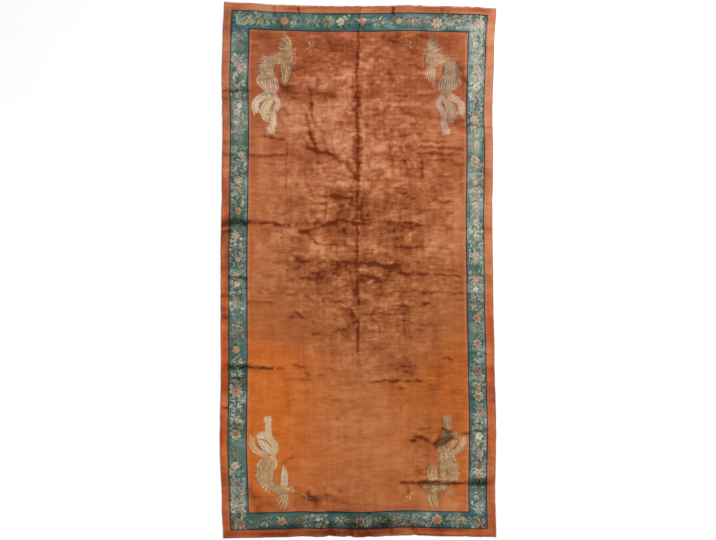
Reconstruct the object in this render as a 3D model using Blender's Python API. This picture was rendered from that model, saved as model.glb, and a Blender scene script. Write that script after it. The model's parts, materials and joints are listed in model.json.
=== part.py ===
"""A long hand-knotted wool carpet, laid flat, face up.

It is one woven piece: a pile face over a flat back, with rounded edges where the pile leans over the
selvedges and the ends. The outline is as uneven as a hand-made carpet's, and the creases left by
folding it stand in its face as soft troughs and ridges.

Metres, +Z up. The origin is under the middle of the carpet, on the surface that it lies on.
+Y runs along the carpet's length and +X across it.
"""

import bisect

import bmesh
import bpy

# Driving dimensions
CARPET_WIDTH = 3.05
CARPET_LENGTH = 5.95
CARPET_THICKNESS = 0.011

# The border's bands, measured inwards from the edge
OUTER_BAND = 0.084
GUARD_LINE = 0.014
FLOWER_BAND = 0.187
INNER_GUARD_LINE = 0.014

# The rounded edge: how far in the face starts, where the edge is fullest, and the back's set-back
FACE_SETBACK = 0.007
FACE_EDGE_DROP = 0.0025
BACK_SETBACK = 0.003
FULLEST_SHARE = 0.45

# Plain rows and columns between the creases
ROW_PITCH = 0.24
COLUMN_PITCH = 0.22

# How far each edge lies outside (+) or inside (-) a true rectangle.
# (share of the way along the edge, metres outwards)
LEFT_EDGE = (
    (0.00, -0.006), (0.06, 0.010), (0.18, 0.033), (0.30, 0.022), (0.52, 0.022),
    (0.66, 0.010), (0.76, 0.002), (0.86, 0.010), (0.94, -0.002), (1.00, -0.018),
)
RIGHT_EDGE = (
    (0.00, 0.020), (0.08, 0.010), (0.20, 0.020), (0.34, 0.002), (0.45, -0.012),
    (0.60, -0.023), (0.73, -0.014), (0.80, -0.022), (0.93, -0.002), (1.00, 0.022),
)
BOTTOM_EDGE = (
    (0.00, 0.030), (0.10, 0.024), (0.22, 0.018), (0.29, 0.007), (0.35, 0.014),
    (0.40, 0.007), (0.49, 0.018), (0.68, -0.004), (0.82, 0.007), (1.00, 0.014),
)
TOP_EDGE = (
    (0.00, 0.042), (0.07, 0.030), (0.22, 0.008), (0.36, -0.004), (0.55, -0.004),
    (0.68, 0.004), (0.80, -0.004), (0.92, -0.014), (1.00, -0.030),
)

# Creases that run across the carpet. The heights are the face's rise (+) or fall (-) there.
# (y at the left edge, y at the middle, y at the right edge, half width, left, middle, right height)
CROSS_CREASES = (
    (-2.430, -2.410, -2.375, 0.034, 0.0000, -0.0012, -0.0034),
    (-1.880, -1.860, -1.810, 0.030, 0.0004, -0.0008, -0.0030),
    (-1.270, -1.245, -1.255, 0.030, -0.0010, -0.0022, -0.0016),
    (-1.090, -1.130, -1.000, 0.034, -0.0034, -0.0010, -0.0012),
    (-0.480, -0.490, -0.390, 0.030, 0.0008, -0.0024, -0.0014),
    (-0.350, -0.220, -0.270, 0.030, -0.0020, -0.0026, -0.0022),
    (0.110, 0.070, -0.050, 0.034, -0.0008, -0.0036, -0.0024),
    (0.520, 0.540, 0.490, 0.036, -0.0034, -0.0030, -0.0014),
    (0.890, 0.840, 0.780, 0.030, 0.0010, -0.0030, -0.0020),
    (1.275, 1.210, 1.310, 0.032, -0.0024, -0.0014, -0.0022),
    (1.500, 1.400, 1.630, 0.030, -0.0014, -0.0022, -0.0010),
    (1.960, 1.920, 1.965, 0.034, -0.0020, -0.0026, -0.0020),
)

# Folds that run along the carpet.
# (x of the fold, half width, lowest y, highest y, height in the face)
LONG_FOLDS = (
    (-0.800, 0.026, 0.45, 2.30, -0.0018),
    (-0.510, 0.026, 0.20, 2.10, -0.0012),
    (0.000, 0.030, -1.00, 2.75, -0.0034),
    (0.530, 0.026, -1.45, 1.60, -0.0014),
    (0.710, 0.026, 0.15, 1.60, -0.0016),
)
FOLD_FADE = 0.35

RUST = (0.42, 0.142, 0.058)
TEAL = (0.10, 0.19, 0.17)
NAVY = (0.022, 0.040, 0.038)
WOOL_ROUGHNESS = 0.85

HALF_WIDTH = CARPET_WIDTH / 2
HALF_LENGTH = CARPET_LENGTH / 2
TEAL_STARTS = OUTER_BAND + GUARD_LINE
TEAL_ENDS = TEAL_STARTS + FLOWER_BAND
FIELD_STARTS = TEAL_ENDS + INNER_GUARD_LINE
BORDER_LINES = (OUTER_BAND, TEAL_STARTS, TEAL_ENDS, FIELD_STARTS)


def smooth(share):
    """An even start and stop between 0 and 1."""
    share = min(1.0, max(0.0, share))
    return share * share * (3 - 2 * share)


def along_table(table, share):
    """The smooth value of an edge's table at a share of the way along it."""
    after = min(len(table) - 1, max(1, bisect.bisect_left([row[0] for row in table], share)))
    (start, low), (end, high) = table[after - 1], table[after]
    return low + (high - low) * smooth((share - start) / (end - start))


def three_point(left, middle, right, across):
    """The curve through a crease's values at the left edge, the middle and the right edge."""
    bend = left + right - 2 * middle
    slope = right - left
    centred = across * 2 - 1
    return middle + slope * centred / 2 + bend * centred * centred / 2


def with_fillers(fixed, pitch):
    """The fixed places in order, with evenly spaced ones added wherever two are far apart."""
    filled = sorted(fixed)[:1]
    for place in sorted(fixed)[1:]:
        start = filled[-1]
        steps = max(1, round((place - start) / pitch))
        filled += [start + (place - start) * step / steps for step in range(1, steps + 1)]
    return filled


def column_places():
    """Where the face's columns stand, as x before the outline bends them."""
    fixed = [-HALF_WIDTH, HALF_WIDTH]
    for x, half_width, *_ in LONG_FOLDS:
        fixed += [x - half_width, x, x + half_width]
    for inwards in BORDER_LINES:
        fixed += [-HALF_WIDTH + inwards, HALF_WIDTH - inwards]
    return with_fillers(fixed, COLUMN_PITCH)


def row_curves():
    """The face's rows, each as (y at left, middle and right, heights at left, middle and right)."""
    flat = (0.0, 0.0, 0.0)
    rows = []
    for left, middle, right, half_width, *heights in CROSS_CREASES:
        for offset in (-half_width, 0.0, half_width):
            rise = tuple(heights) if offset == 0.0 else flat
            rows.append(((left + offset, middle + offset, right + offset), rise))
    for inwards in BORDER_LINES:
        for y in (-HALF_LENGTH + inwards, HALF_LENGTH - inwards):
            rows.append(((y, y, y), flat))
    rows += [((y, y, y), flat) for y in (-HALF_LENGTH, HALF_LENGTH)]
    rows.sort(key=lambda row: row[0][1])
    filled = [rows[0]]
    for row in rows[1:]:
        below = filled[-1][0]
        steps = max(1, round((row[0][1] - below[1]) / ROW_PITCH))
        for step in range(1, steps):
            between = tuple(a + (b - a) * step / steps for a, b in zip(below, row[0]))
            filled.append((between, flat))
        filled.append(row)
    return filled


def fold_height(x, y):
    """How far the face falls at a long fold, fading out at the fold's two ends."""
    for place, _, lowest, highest, height in LONG_FOLDS:
        if abs(place - x) < 1e-6:
            fade_in = smooth((y - lowest) / FOLD_FADE)
            return height * fade_in * smooth((highest - y) / FOLD_FADE)
    return 0.0


def outline_point(x, y, inset):
    """Moves a point of the true rectangle to where the uneven outline puts it."""
    across = (x + HALF_WIDTH) / CARPET_WIDTH
    along = (y + HALF_LENGTH) / CARPET_LENGTH
    left = -HALF_WIDTH - along_table(LEFT_EDGE, along) + inset
    right = HALF_WIDTH + along_table(RIGHT_EDGE, along) - inset
    bottom = -HALF_LENGTH - along_table(BOTTOM_EDGE, across) + inset
    top = HALF_LENGTH + along_table(TOP_EDGE, across) - inset
    return left + (right - left) * across, bottom + (top - bottom) * along


def slab_topology(columns, rows):
    """A grid for the face, its rim carried down twice and closed by the back. Z holds the level."""
    mesh = bmesh.new()
    bmesh.ops.create_grid(mesh, x_segments=columns - 1, y_segments=rows - 1, size=0.5)
    rim = [edge for edge in mesh.edges if edge.is_boundary]
    for _ in range(2):
        grown = bmesh.ops.extrude_edge_only(mesh, edges=rim)["geom"]
        below = [item for item in grown if isinstance(item, bmesh.types.BMVert)]
        bmesh.ops.translate(mesh, verts=below, vec=(0, 0, -1))
        rim = [edge for edge in mesh.edges if edge.is_boundary]
    bmesh.ops.contextual_create(mesh, geom=rim)
    return mesh


def place_vertices(mesh, columns, rows):
    """Gives every vertex of the slab its real place."""
    levels = {
        0: (FACE_SETBACK, None),
        -1: (0.0, CARPET_THICKNESS * FULLEST_SHARE),
        -2: (BACK_SETBACK, 0.0),
    }
    for vertex in mesh.verts:
        column = round((vertex.co.x + 0.5) * (len(columns) - 1))
        row = round((vertex.co.y + 0.5) * (len(rows) - 1))
        inset, height = levels[round(vertex.co.z)]
        x = columns[column]
        across = (x + HALF_WIDTH) / CARPET_WIDTH
        places, rises = rows[row]
        y = min(HALF_LENGTH, max(-HALF_LENGTH, three_point(*places, across)))
        if height is None:
            on_rim = column in (0, len(columns) - 1) or row in (0, len(rows) - 1)
            height = CARPET_THICKNESS - (FACE_EDGE_DROP if on_rim else 0.0)
            height += 0.0 if on_rim else three_point(*rises, across) + fold_height(x, y)
        vertex.co = (*outline_point(x, y, inset), height)


def wool(name, colour):
    """Plain dyed wool."""
    material = bpy.data.materials.new(name)
    material.use_nodes = True
    surface = material.node_tree.nodes["Principled BSDF"]
    surface.inputs["Base Color"].default_value = (*colour, 1)
    surface.inputs["Roughness"].default_value = WOOL_ROUGHNESS
    surface.inputs["Metallic"].default_value = 0.0
    material.diffuse_color = (*colour, 1)
    return material


def band_of(x, y):
    """The dye of the band that a place of the true rectangle lies in: rust, teal or navy."""
    inwards = min(HALF_WIDTH - abs(x), HALF_LENGTH - abs(y))
    if OUTER_BAND < inwards < TEAL_STARTS or TEAL_ENDS < inwards < FIELD_STARTS:
        return 2
    return 1 if TEAL_STARTS <= inwards <= TEAL_ENDS else 0


def dye_faces(mesh, columns, rows):
    """Gives each face of the grid the dye of its band, before the grid gets its real shape."""
    for face in mesh.faces:
        if face.normal.z < 0.5 or round(face.verts[0].co.z) != 0 or len(face.verts) != 4:
            continue
        place = face.calc_center_median()
        column = (place.x + 0.5) * (len(columns) - 1)
        row = (place.y + 0.5) * (len(rows) - 1)
        x = (columns[int(column)] + columns[int(column) + 1]) / 2
        y = (rows[int(row)][0][1] + rows[int(row) + 1][0][1]) / 2
        face.material_index = band_of(x, y)


def make_carpet(collection):
    """The carpet's one solid, centred over the origin."""
    columns = column_places()
    rows = row_curves()
    mesh = slab_topology(len(columns), len(rows))
    bmesh.ops.recalc_face_normals(mesh, faces=mesh.faces)
    dye_faces(mesh, columns, rows)
    place_vertices(mesh, columns, rows)
    across = [vertex.co.x for vertex in mesh.verts]
    along = [vertex.co.y for vertex in mesh.verts]
    middle = (-(min(across) + max(across)) / 2, -(min(along) + max(along)) / 2, 0)
    bmesh.ops.translate(mesh, verts=mesh.verts, vec=middle)
    data = bpy.data.meshes.new("carpet")
    mesh.to_mesh(data)
    mesh.free()
    for name, colour in (("rust_wool", RUST), ("teal_wool", TEAL), ("navy_wool", NAVY)):
        data.materials.append(wool(name, colour))
    carpet = bpy.data.objects.new("carpet", data)
    collection.objects.link(carpet)
    return carpet


def main():
    for old in list(bpy.data.objects):
        bpy.data.objects.remove(old)
    collection = bpy.data.collections.new("chinese_rug")
    bpy.context.scene.collection.children.link(collection)
    make_carpet(collection)


main()
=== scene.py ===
"""The looks of a long hand-knotted wool carpet with phoenixes in its corners and a flower border.

Metres, +Z up. The tables give places in centimetres on the carpet, measured from its middle, with x
to the right and y towards its far end. Lean shading is painted light and shade for how the pile lies,
together with real marks where it is pressed or rubbed: up to 1 where it leans away and is painted
dark, down to -1 where it leans towards the light and is painted pale.
"""

import json
import math

import bpy
import numpy as np
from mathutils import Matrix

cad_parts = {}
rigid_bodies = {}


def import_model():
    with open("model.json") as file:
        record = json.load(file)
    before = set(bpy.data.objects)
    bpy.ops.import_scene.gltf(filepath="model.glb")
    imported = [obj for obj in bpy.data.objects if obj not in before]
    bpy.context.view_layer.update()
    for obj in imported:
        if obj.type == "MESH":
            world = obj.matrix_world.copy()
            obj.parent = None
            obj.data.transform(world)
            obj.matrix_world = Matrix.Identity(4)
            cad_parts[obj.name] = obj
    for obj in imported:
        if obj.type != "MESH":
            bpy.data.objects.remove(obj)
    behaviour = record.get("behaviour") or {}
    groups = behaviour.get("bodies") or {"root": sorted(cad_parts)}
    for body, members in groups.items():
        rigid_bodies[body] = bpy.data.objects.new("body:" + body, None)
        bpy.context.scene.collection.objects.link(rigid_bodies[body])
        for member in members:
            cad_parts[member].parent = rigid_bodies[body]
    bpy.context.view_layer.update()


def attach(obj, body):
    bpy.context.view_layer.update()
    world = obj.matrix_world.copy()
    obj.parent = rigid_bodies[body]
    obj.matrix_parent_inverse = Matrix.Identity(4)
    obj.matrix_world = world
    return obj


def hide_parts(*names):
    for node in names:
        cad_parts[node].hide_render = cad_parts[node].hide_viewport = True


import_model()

# The carpet's true rectangle and its bands, as on its loom
CARPET_WIDTH = 3.05
CARPET_LENGTH = 5.95
CARPET_THICKNESS = 0.011
OUTER_BAND = 0.084
GUARD_LINE = 0.014
FLOWER_BAND = 0.187
INNER_GUARD_LINE = 0.014
HALF_WIDTH = CARPET_WIDTH / 2
HALF_LENGTH = CARPET_LENGTH / 2
TEAL_STARTS = OUTER_BAND + GUARD_LINE
TEAL_ENDS = TEAL_STARTS + FLOWER_BAND
FIELD_STARTS = TEAL_ENDS + INNER_GUARD_LINE
CENTIMETRE = 0.01

# The grid of the pile's surface
COLUMNS = 214
ROWS = 420

# How far each edge lies outside (+) or inside (-) a true rectangle.
# (share of the way along the edge, metres outwards)
LEFT_EDGE = (
    (0.00, -0.006), (0.06, 0.010), (0.18, 0.033), (0.30, 0.022), (0.52, 0.022),
    (0.66, 0.010), (0.76, 0.002), (0.86, 0.010), (0.94, -0.002), (1.00, -0.018),
)
RIGHT_EDGE = (
    (0.00, 0.020), (0.08, 0.010), (0.20, 0.020), (0.34, 0.002), (0.45, -0.012),
    (0.60, -0.023), (0.73, -0.014), (0.80, -0.022), (0.93, -0.002), (1.00, 0.022),
)
BOTTOM_EDGE = (
    (0.00, 0.030), (0.10, 0.024), (0.22, 0.018), (0.29, 0.007), (0.35, 0.014),
    (0.40, 0.007), (0.49, 0.018), (0.68, -0.004), (0.82, 0.007), (1.00, 0.014),
)
TOP_EDGE = (
    (0.00, 0.042), (0.07, 0.030), (0.22, 0.008), (0.36, -0.004), (0.55, -0.004),
    (0.68, 0.004), (0.80, -0.004), (0.92, -0.014), (1.00, -0.030),
)

# Creases that run across the carpet. The heights are the face's rise (+) or fall (-) there.
# (y at the left edge, y at the middle, y at the right edge, half width, left, middle, right height)
CROSS_CREASES = (
    (-2.430, -2.410, -2.375, 0.034, 0.0000, -0.0012, -0.0034),
    (-1.880, -1.860, -1.810, 0.030, 0.0004, -0.0008, -0.0030),
    (-1.270, -1.245, -1.255, 0.030, -0.0010, -0.0022, -0.0016),
    (-1.090, -1.130, -1.000, 0.034, -0.0034, -0.0010, -0.0012),
    (-0.480, -0.490, -0.390, 0.030, 0.0008, -0.0024, -0.0014),
    (-0.350, -0.220, -0.270, 0.030, -0.0020, -0.0026, -0.0022),
    (0.110, 0.070, -0.050, 0.034, -0.0008, -0.0036, -0.0024),
    (0.520, 0.540, 0.490, 0.036, -0.0034, -0.0030, -0.0014),
    (0.890, 0.840, 0.780, 0.030, 0.0010, -0.0030, -0.0020),
    (1.275, 1.210, 1.310, 0.032, -0.0024, -0.0014, -0.0022),
    (1.500, 1.400, 1.630, 0.030, -0.0014, -0.0022, -0.0010),
    (1.960, 1.920, 1.965, 0.034, -0.0020, -0.0026, -0.0020),
)

# Folds that run along the carpet.
# (x of the fold, half width, lowest y, highest y, height in the face)
LONG_FOLDS = (
    (-0.800, 0.026, 0.45, 2.30, -0.0018),
    (-0.510, 0.026, 0.20, 2.10, -0.0012),
    (0.000, 0.030, -1.00, 2.75, -0.0034),
    (0.530, 0.026, -1.45, 1.60, -0.0014),
    (0.710, 0.026, 0.15, 1.60, -0.0016),
)
FOLD_FADE = 0.35

# Dark marks, partly real pressed or rubbed pile and partly painted shade in the creases and folds, in
# centimetres.
# (start x, start y, end x, end y, half width, darkness)
DARK_MARKS = (
    # Faint streaks along the lower half
    (-62, -62, -58, -142, 4, 0.15), (-80, -120, -78, -160, 3.4, 0.14), (-30, -70, -28, -120, 3, 0.12),
    (38, -100, 42, -180, 4.4, 0.12), (88, -60, 90, -130, 3.6, 0.14), (-96, -60, -94, -110, 3, 0.1),
    # The long fold down the middle
    (0, 268, -1, 220, 1.3, 0.8), (-1, 224, 1, 186, 1.8, 0.75), (0, 190, -1, 150, 2.2, 0.7),
    (0, 160, 0, 116, 2.6, 0.85), (-4, 214, -3, 180, 1.2, 0.35), (4, 206, 5, 172, 1.3, 0.3),
    (-5, 150, -4, 120, 1.3, 0.4), (5, 140, 3, 112, 1.3, 0.3), (0, 122, 0, 84, 1.5, 0.75),
    (-1, 86, 0, 48, 1.2, 0.6), (-5, 82, -11, 60, 2.4, 0.45), (3, 78, 7, 52, 1.8, 0.4),
    (-22, 84, -12, 62, 6, 0.5), (-16, 60, -8, 50, 5, 0.35), (0, 48, -1, 8, 1.4, 0.6),
    (0, 4, 1, -34, 1.8, 0.75), (-9, -40, -2, -54, 1.5, 0.9), (1, -54, 1, -92, 1, 0.85),
    (1, -99, 1, -103, 1.3, 0.4),
    # Top third
    (-90, 208, -76, 201, 4, 0.5), (-83, 203, -40, 198, 3.2, 0.4), (-44, 200, -4, 197, 3, 0.35),
    (-74, 195, -52, 188, 1.5, 0.75), (-55, 204, -53, 187, 1.6, 0.5), (-53, 187, -59, 170, 2, 0.5),
    (-58, 172, -53, 152, 1.8, 0.6), (-54, 154, -46, 137, 2.2, 0.65), (20, 183, 92, 172, 3.6, 0.28),
    (10, 262, 60, 258, 3.4, 0.22), (70, 262, 100, 254, 4, 0.3), (-40, 262, -14, 252, 4.4, 0.1),
    (-22, 203, -4, 203, 1, 0.45), (29, 197, 81, 197, 1.1, 0.45), (-80, 144, -80, 129, 1, 0.55),
    (-52, 185, -51, 169, 1.3, 0.7), (-60, 178, -56, 169, 1.2, 0.5), (-106, 151, -83, 148, 1.4, 0.9),
    (-53, 151, -49, 141, 1.5, 0.6), (50, 178, 66, 174, 1.4, 0.35), (104, 170, 120, 169, 1.3, 0.45),
    (117, 226, 121, 214, 2.2, 0.55), (31, 152, 75, 152, 1, 0.5), (75, 146, 97, 145, 1.2, 0.6),
    (12, 226, 40, 224, 3, 0.22), (96, 171, 121, 162, 4, 0.35), (-60, 236, -34, 240, 3.2, 0.1),
    (-118, 262, -84, 254, 5, 0.3), (-66, 260, -60, 236, 4, 0.2), (112, 236, 111, 208, 2, 0.4),
    (60, 244, 84, 236, 3, 0.3), (104, 262, 76, 262, 4, 0.26), (28, 240, 52, 238, 3, 0.24),
    (117, 230, 120, 196, 3, 0.45),
    # Between the top third and the middle
    (-121, 128, -84, 129, 1.3, 0.8), (-80, 133, -80, 61, 0.8, 0.35), (-62, 140, -46, 136, 1.6, 0.65),
    (-62, 149, -53, 137, 1.7, 0.6), (-53, 138, -31, 130, 2.3, 0.85), (-32, 131, -8, 119, 2.4, 0.85),
    (-12, 120, -2, 106, 2.4, 0.6), (-60, 112, -52, 89, 1.6, 0.5), (-46, 128, -46, 106, 1.2, 0.4),
    (-101, 120, -96, 120, 1, 0.4), (70, 139, 118, 138, 1.2, 0.8), (66, 132, 116, 132, 1.2, 0.65),
    (89, 125, 112, 125, 1, 0.5), (111, 121, 120, 118, 2.2, 0.55), (72, 126, 73, 104, 1.4, 0.55),
    (55, 129, 56, 110, 0.8, 0.45), (30, 126, 38, 125, 1, 0.45), (93, 106, 105, 106, 0.9, 0.4),
    (-11, 91, 0, 91, 1, 0.5), (-39, 84, -6, 82, 1.5, 0.8), (-63, 82, -53, 80, 1.3, 0.5),
    (-121, 84, -89, 84, 0.9, 0.3), (45, 86, 55, 86, 1.1, 0.5), (75, 78, 108, 78, 1.4, 0.55),
    (96, 78, 107, 77, 1.7, 0.45), (19, 67, 37, 66, 0.9, 0.5), (95, 65, 110, 65, 0.9, 0.5),
    # Across the middle
    (-121, 54, -77, 52, 1.5, 0.8), (-93, 54, -80, 47, 2.2, 0.5), (-48, 54, -15, 54, 2.2, 0.22),
    (-62, 44, -48, 42, 2, 0.5), (-30, 50, -8, 42, 4, 0.4), (26, 53, 80, 49, 2, 0.3),
    (30, 46, 60, 47, 3.5, 0.35), (99, 49, 108, 46, 2, 0.45), (-50, 37, -44, 31, 1.1, 1.2),
    (-77, 29, -70, 24, 2.2, 0.5), (45, 26, 68, 26, 1.1, 0.6), (-69, 14, -54, 10, 2, 1.05),
    (-43, 11, -36, 11, 1.4, 0.45), (-27, 11, 2, 8, 1.4, 0.8), (-24, 8, 0, 5, 2.4, 0.35),
    (-15, 32, -8, 27, 1.8, 0.4), (4, 9, 47, 5, 1.3, 0.95), (14, 6, 46, 2, 2.2, 0.5),
    (102, 2, 113, 2, 1.1, 0.6), (-8, 0, 3, 0, 1.1, 0.55), (2, -1, 7, -8, 1.2, 0.6),
    (-8, -3, -5, -13, 1.2, 0.55), (9, -4, 31, -14, 2.4, 1.05), (48, -2, 58, -5, 1.5, 0.95),
    (47, -4, 116, -5, 0.8, 0.75), (108, -4, 115, -5, 1.3, 0.6), (109, -12, 116, -12, 1.2, 0.55),
    (-71, 2, -67, 2, 1.2, 0.45), (-50, -2, -34, -2, 0.9, 0.65), (-27, -2, -19, -5, 1.2, 0.9),
    (-64, -8, -51, -8, 1.2, 0.55), (-75, -9, -70, -9, 1.2, 0.45), (-20, -10, -10, -10, 1.1, 0.5),
    (-110, -25, -106, -25, 1, 0.55), (-98, -24, -94, -24, 1, 0.55), (-121, -20, -100, -20, 0.8, 0.35),
    (-80, -27, -67, -27, 1.1, 0.6), (-20, -22, -7, -22, 1, 0.5), (-58, -29, -50, -35, 1.2, 0.6),
    (30, -24, 118, -24, 1, 0.65), (72, -26, 76, -26, 1.8, 0.5), (-124, -35, -94, -36, 1, 0.6),
    (-44, -34, -10, -34, 0.9, 0.45), (49, -30, 57, -31, 1.5, 0.65), (46, -39, 57, -39, 1.5, 0.75),
    (38, -44, 45, -44, 1.4, 0.45), (73, -37, 82, -37, 1, 0.65), (105, -32, 116, -33, 1, 0.5),
    (-58, 44, -40, 51, 1.2, 0.5), (-40, 51, -22, 57, 1.3, 0.55), (-22, 57, -2, 55, 1.2, 0.5),
    (6, 58, 36, 55, 1.2, 0.8), (36, 55, 82, 51, 1.1, 0.6),
    # Below the middle
    (-69, -47, -61, -52, 1.6, 1.1), (-75, -53, -71, -53, 1.5, 0.5), (-52, -57, -50, -57, 1.2, 0.5),
    (3, -47, 57, -50, 0.9, 0.55), (53, -50, 53, -72, 0.8, 0.5), (72, -61, 79, -61, 1, 0.5),
    (66, -67, 74, -67, 1.2, 0.6), (-50, -72, -47, -72, 1.4, 0.7), (-44, -71, -30, -72, 0.7, 0.35),
    (94, -99, 105, -99, 1, 0.7), (-123, -108, -96, -108, 1.5, 0.8), (-106, -108, -97, -109, 1.8, 0.7),
    (-90, -109, -83, -109, 1.2, 0.5), (-72, -106, -59, -108, 1.2, 0.6), (-34, -110, -26, -110, 1.1, 0.5),
    (-58, -115, -54, -116, 1.2, 0.45), (-47, -116, -37, -116, 1, 0.45), (-79, -121, -52, -122, 0.9, 0.55),
    (44, -104, 56, -104, 1.4, 0.55), (49, -108, 58, -109, 1.7, 0.65), (40, -111, 47, -111, 1.3, 0.4),
    (52, -114, 60, -115, 1.3, 0.45), (46, -118, 51, -118, 1.2, 0.4), (62, -107, 71, -108, 1, 0.35),
    (36, -106, 41, -106, 1, 0.35), (60, -104, 61, -120, 1, 0.25), (15, -124, 71, -125, 1, 0.6),
    (45, -132, 53, -133, 1.6, 0.5), (-29, -144, -20, -146, 1.2, 0.6), (-23, -165, -21, -165, 1.3, 0.6),
    (58, -190, 63, -190, 1.8, 0.5), (63, -186, 76, -189, 2, 0.5), (84, -193, 96, -187, 2, 0.8),
    (-32, -191, -30, -190, 1.2, 0.4), (-76, -209, -74, -209, 1.4, 0.5), (66, -178, 80, -178, 1, 0.6),
    # Dark marks in the near corners and at the near end
    (95, -178, 104, -180, 1.7, 0.9), (66, -187, 77, -191, 1.8, 0.75), (59, -192, 64, -192, 1.5, 0.75),
    (87, -196, 104, -187, 2.4, 1.2), (88, -190, 98, -184, 4, 0.36), (-120, -244, -112, -266, 5, 0.3),
    (-114, -252, -96, -262, 6, 0.34), (-56, -250, -46, -256, 3, 0.6), (118, -183, 124, -183, 1.5, 0.75),
    (66, -224, 73, -228, 2.6, 0.5), (49, -238, 60, -238, 1.4, 1.2), (70, -238, 83, -238, 1.7, 1.2),
    (85, -237, 109, -237, 1.6, 1.2), (60, -238, 123, -238, 1, 0.8), (54, -243, 56, -249, 1.8, 0.6),
    (70, -240, 90, -252, 3.5, 0.3), (-63, -250, -50, -257, 3.4, 0.55), (-52, -252, -16, -256, 3, 0.4),
    (-23, -245, -19, -247, 2, 0.5), (-42, -269, 2, -269, 1, 0.4), (9, -268, 11, -269, 1.4, 0.6),
)

# Dark marks that cross the border, in the same columns
BORDER_MARKS = (
    (-152, 200, -123, 200, 2.2, 0.75), (-152, 191, -126, 192, 2, 0.35), (-142, 133, -124, 132, 1.4, 0.6),
    (-152, 128, -124, 128, 3.6, 0.42), (-142, 104, -136, 103, 2, 0.4), (-142, 63, -130, 62, 4.5, 0.6),
    (-152, 53, -123, 53, 3, 0.95), (-152, 43, -136, 43, 1.5, 0.75), (-152, -20, -123, -20, 1.6, 0.45),
    (-142, -8, -124, -10, 1.6, 0.75), (-152, -28, -145, -28, 2.4, 0.6), (-152, -52, -146, -52, 1.6, 0.6),
    (-142, -108, -123, -108, 2.4, 1.2), (-140, -121, -130, -121, 3, 0.7),
    (-142, -145, -128, -150, 2.4, 0.4), (-152, -153, -146, -153, 1.5, 0.9),
    (-142, -171, -126, -173, 3, 0.45), (132, 231, 138, 231, 2.2, 0.45), (126, 165, 152, 163, 1.2, 0.6),
    (136, 58, 141, 58, 1.5, 0.9), (126, 49, 152, 49, 2, 0.35), (130, -92, 142, -93, 2.6, 0.55),
    (131, -103, 138, -104, 2, 0.7), (126, -178, 142, -179, 1.4, 0.8), (124, -237, 142, -237, 4, 0.6),
    (-97, 297, -96, 284, 1.2, 0.7), (-70, 296, -69, 284, 1, 0.6), (37, 296, 38, 286, 1.4, 0.7),
    (92, 296, 93, 285, 1.2, 0.5), (0, 296, 0, 266, 1.2, 0.5), (33, -275, 36, -290, 1.8, 0.6),
    (-33, -291, -29, -298, 2, 0.7), (-10, -291, -8, -298, 1.6, 0.7), (8, -291, 12, -298, 2, 0.55),
    (60, -291, 66, -298, 2.4, 0.5),
)

# Painted highlights: patches where the pile catches the light, in centimetres.
# (x, y, half width, half length, paleness)
PAINTED_SHEEN_PATCHES = (
    (-24, 218, 22, 14, 0.42), (-15, 202, 12, 7, 0.4), (-24, 185, 24, 12, 0.45), (-34, 166, 26, 12, 0.42),
    (-22, 143, 26, 14, 0.55), (-30, 108, 18, 15, 0.42), (12, 232, 14, 10, 0.25), (30, 222, 16, 15, 0.3),
    (32, 190, 16, 10, 0.35), (22, 140, 20, 15, 0.42), (24, 106, 22, 16, 0.36), (8, 206, 9, 9, 0.4),
    (-12, 104, 8, 30, 0.3), (86, 240, 12, 20, 0.2), (60, 146, 26, 10, 0.28), (92, 42, 24, 14, 0.42),
    (82, 73, 10, 10, 0.45), (16, 28, 12, 12, 0.35), (-36, 26, 24, 9, 0.32), (-96, 96, 26, 30, 0.22),
    (-70, 100, 14, 26, 0.24), (-58, 182, 18, 22, 0.32), (-80, 166, 20, 20, 0.34), (92, 158, 26, 14, 0.34),
    (112, 66, 14, 16, 0.3), (-100, 20, 26, 36, 0.16), (30, -30, 34, 12, 0.2), (64, 14, 30, 8, 0.25),
    (20, -182, 34, 60, 0.16), (64, -214, 20, 30, 0.12), (-14, -150, 26, 44, 0.16),
    (-40, -196, 30, 40, 0.1), (86, -254, 28, 16, 0.2), (104, -262, 24, 10, 0.3), (0, -128, 60, 26, 0.02),
)

# Broad changes of the dye, warmer (+) or browner (-), in the same columns
DYE_PATCHES = (
    (-108, -142, 40, 60, 1.1), (-90, -220, 60, 60, 0.6), (100, -120, 40, 60, 0.5),
    (-60, -110, 60, 60, 0.45), (-70, 262, 60, 30, 0.28), (60, 250, 70, 40, 0.22), (20, -10, 70, 70, -0.55),
    (40, -70, 60, 50, -0.35), (20, 70, 70, 60, -0.25), (30, -190, 60, 70, 0.22), (80, -130, 50, 60, 0.25),
    (118, -200, 14, 70, 0.6), (-118, 10, 14, 150, 0.25), (118, 80, 14, 90, 0.15),
    (-114, -200, 16, 80, 0.5),
)
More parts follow.
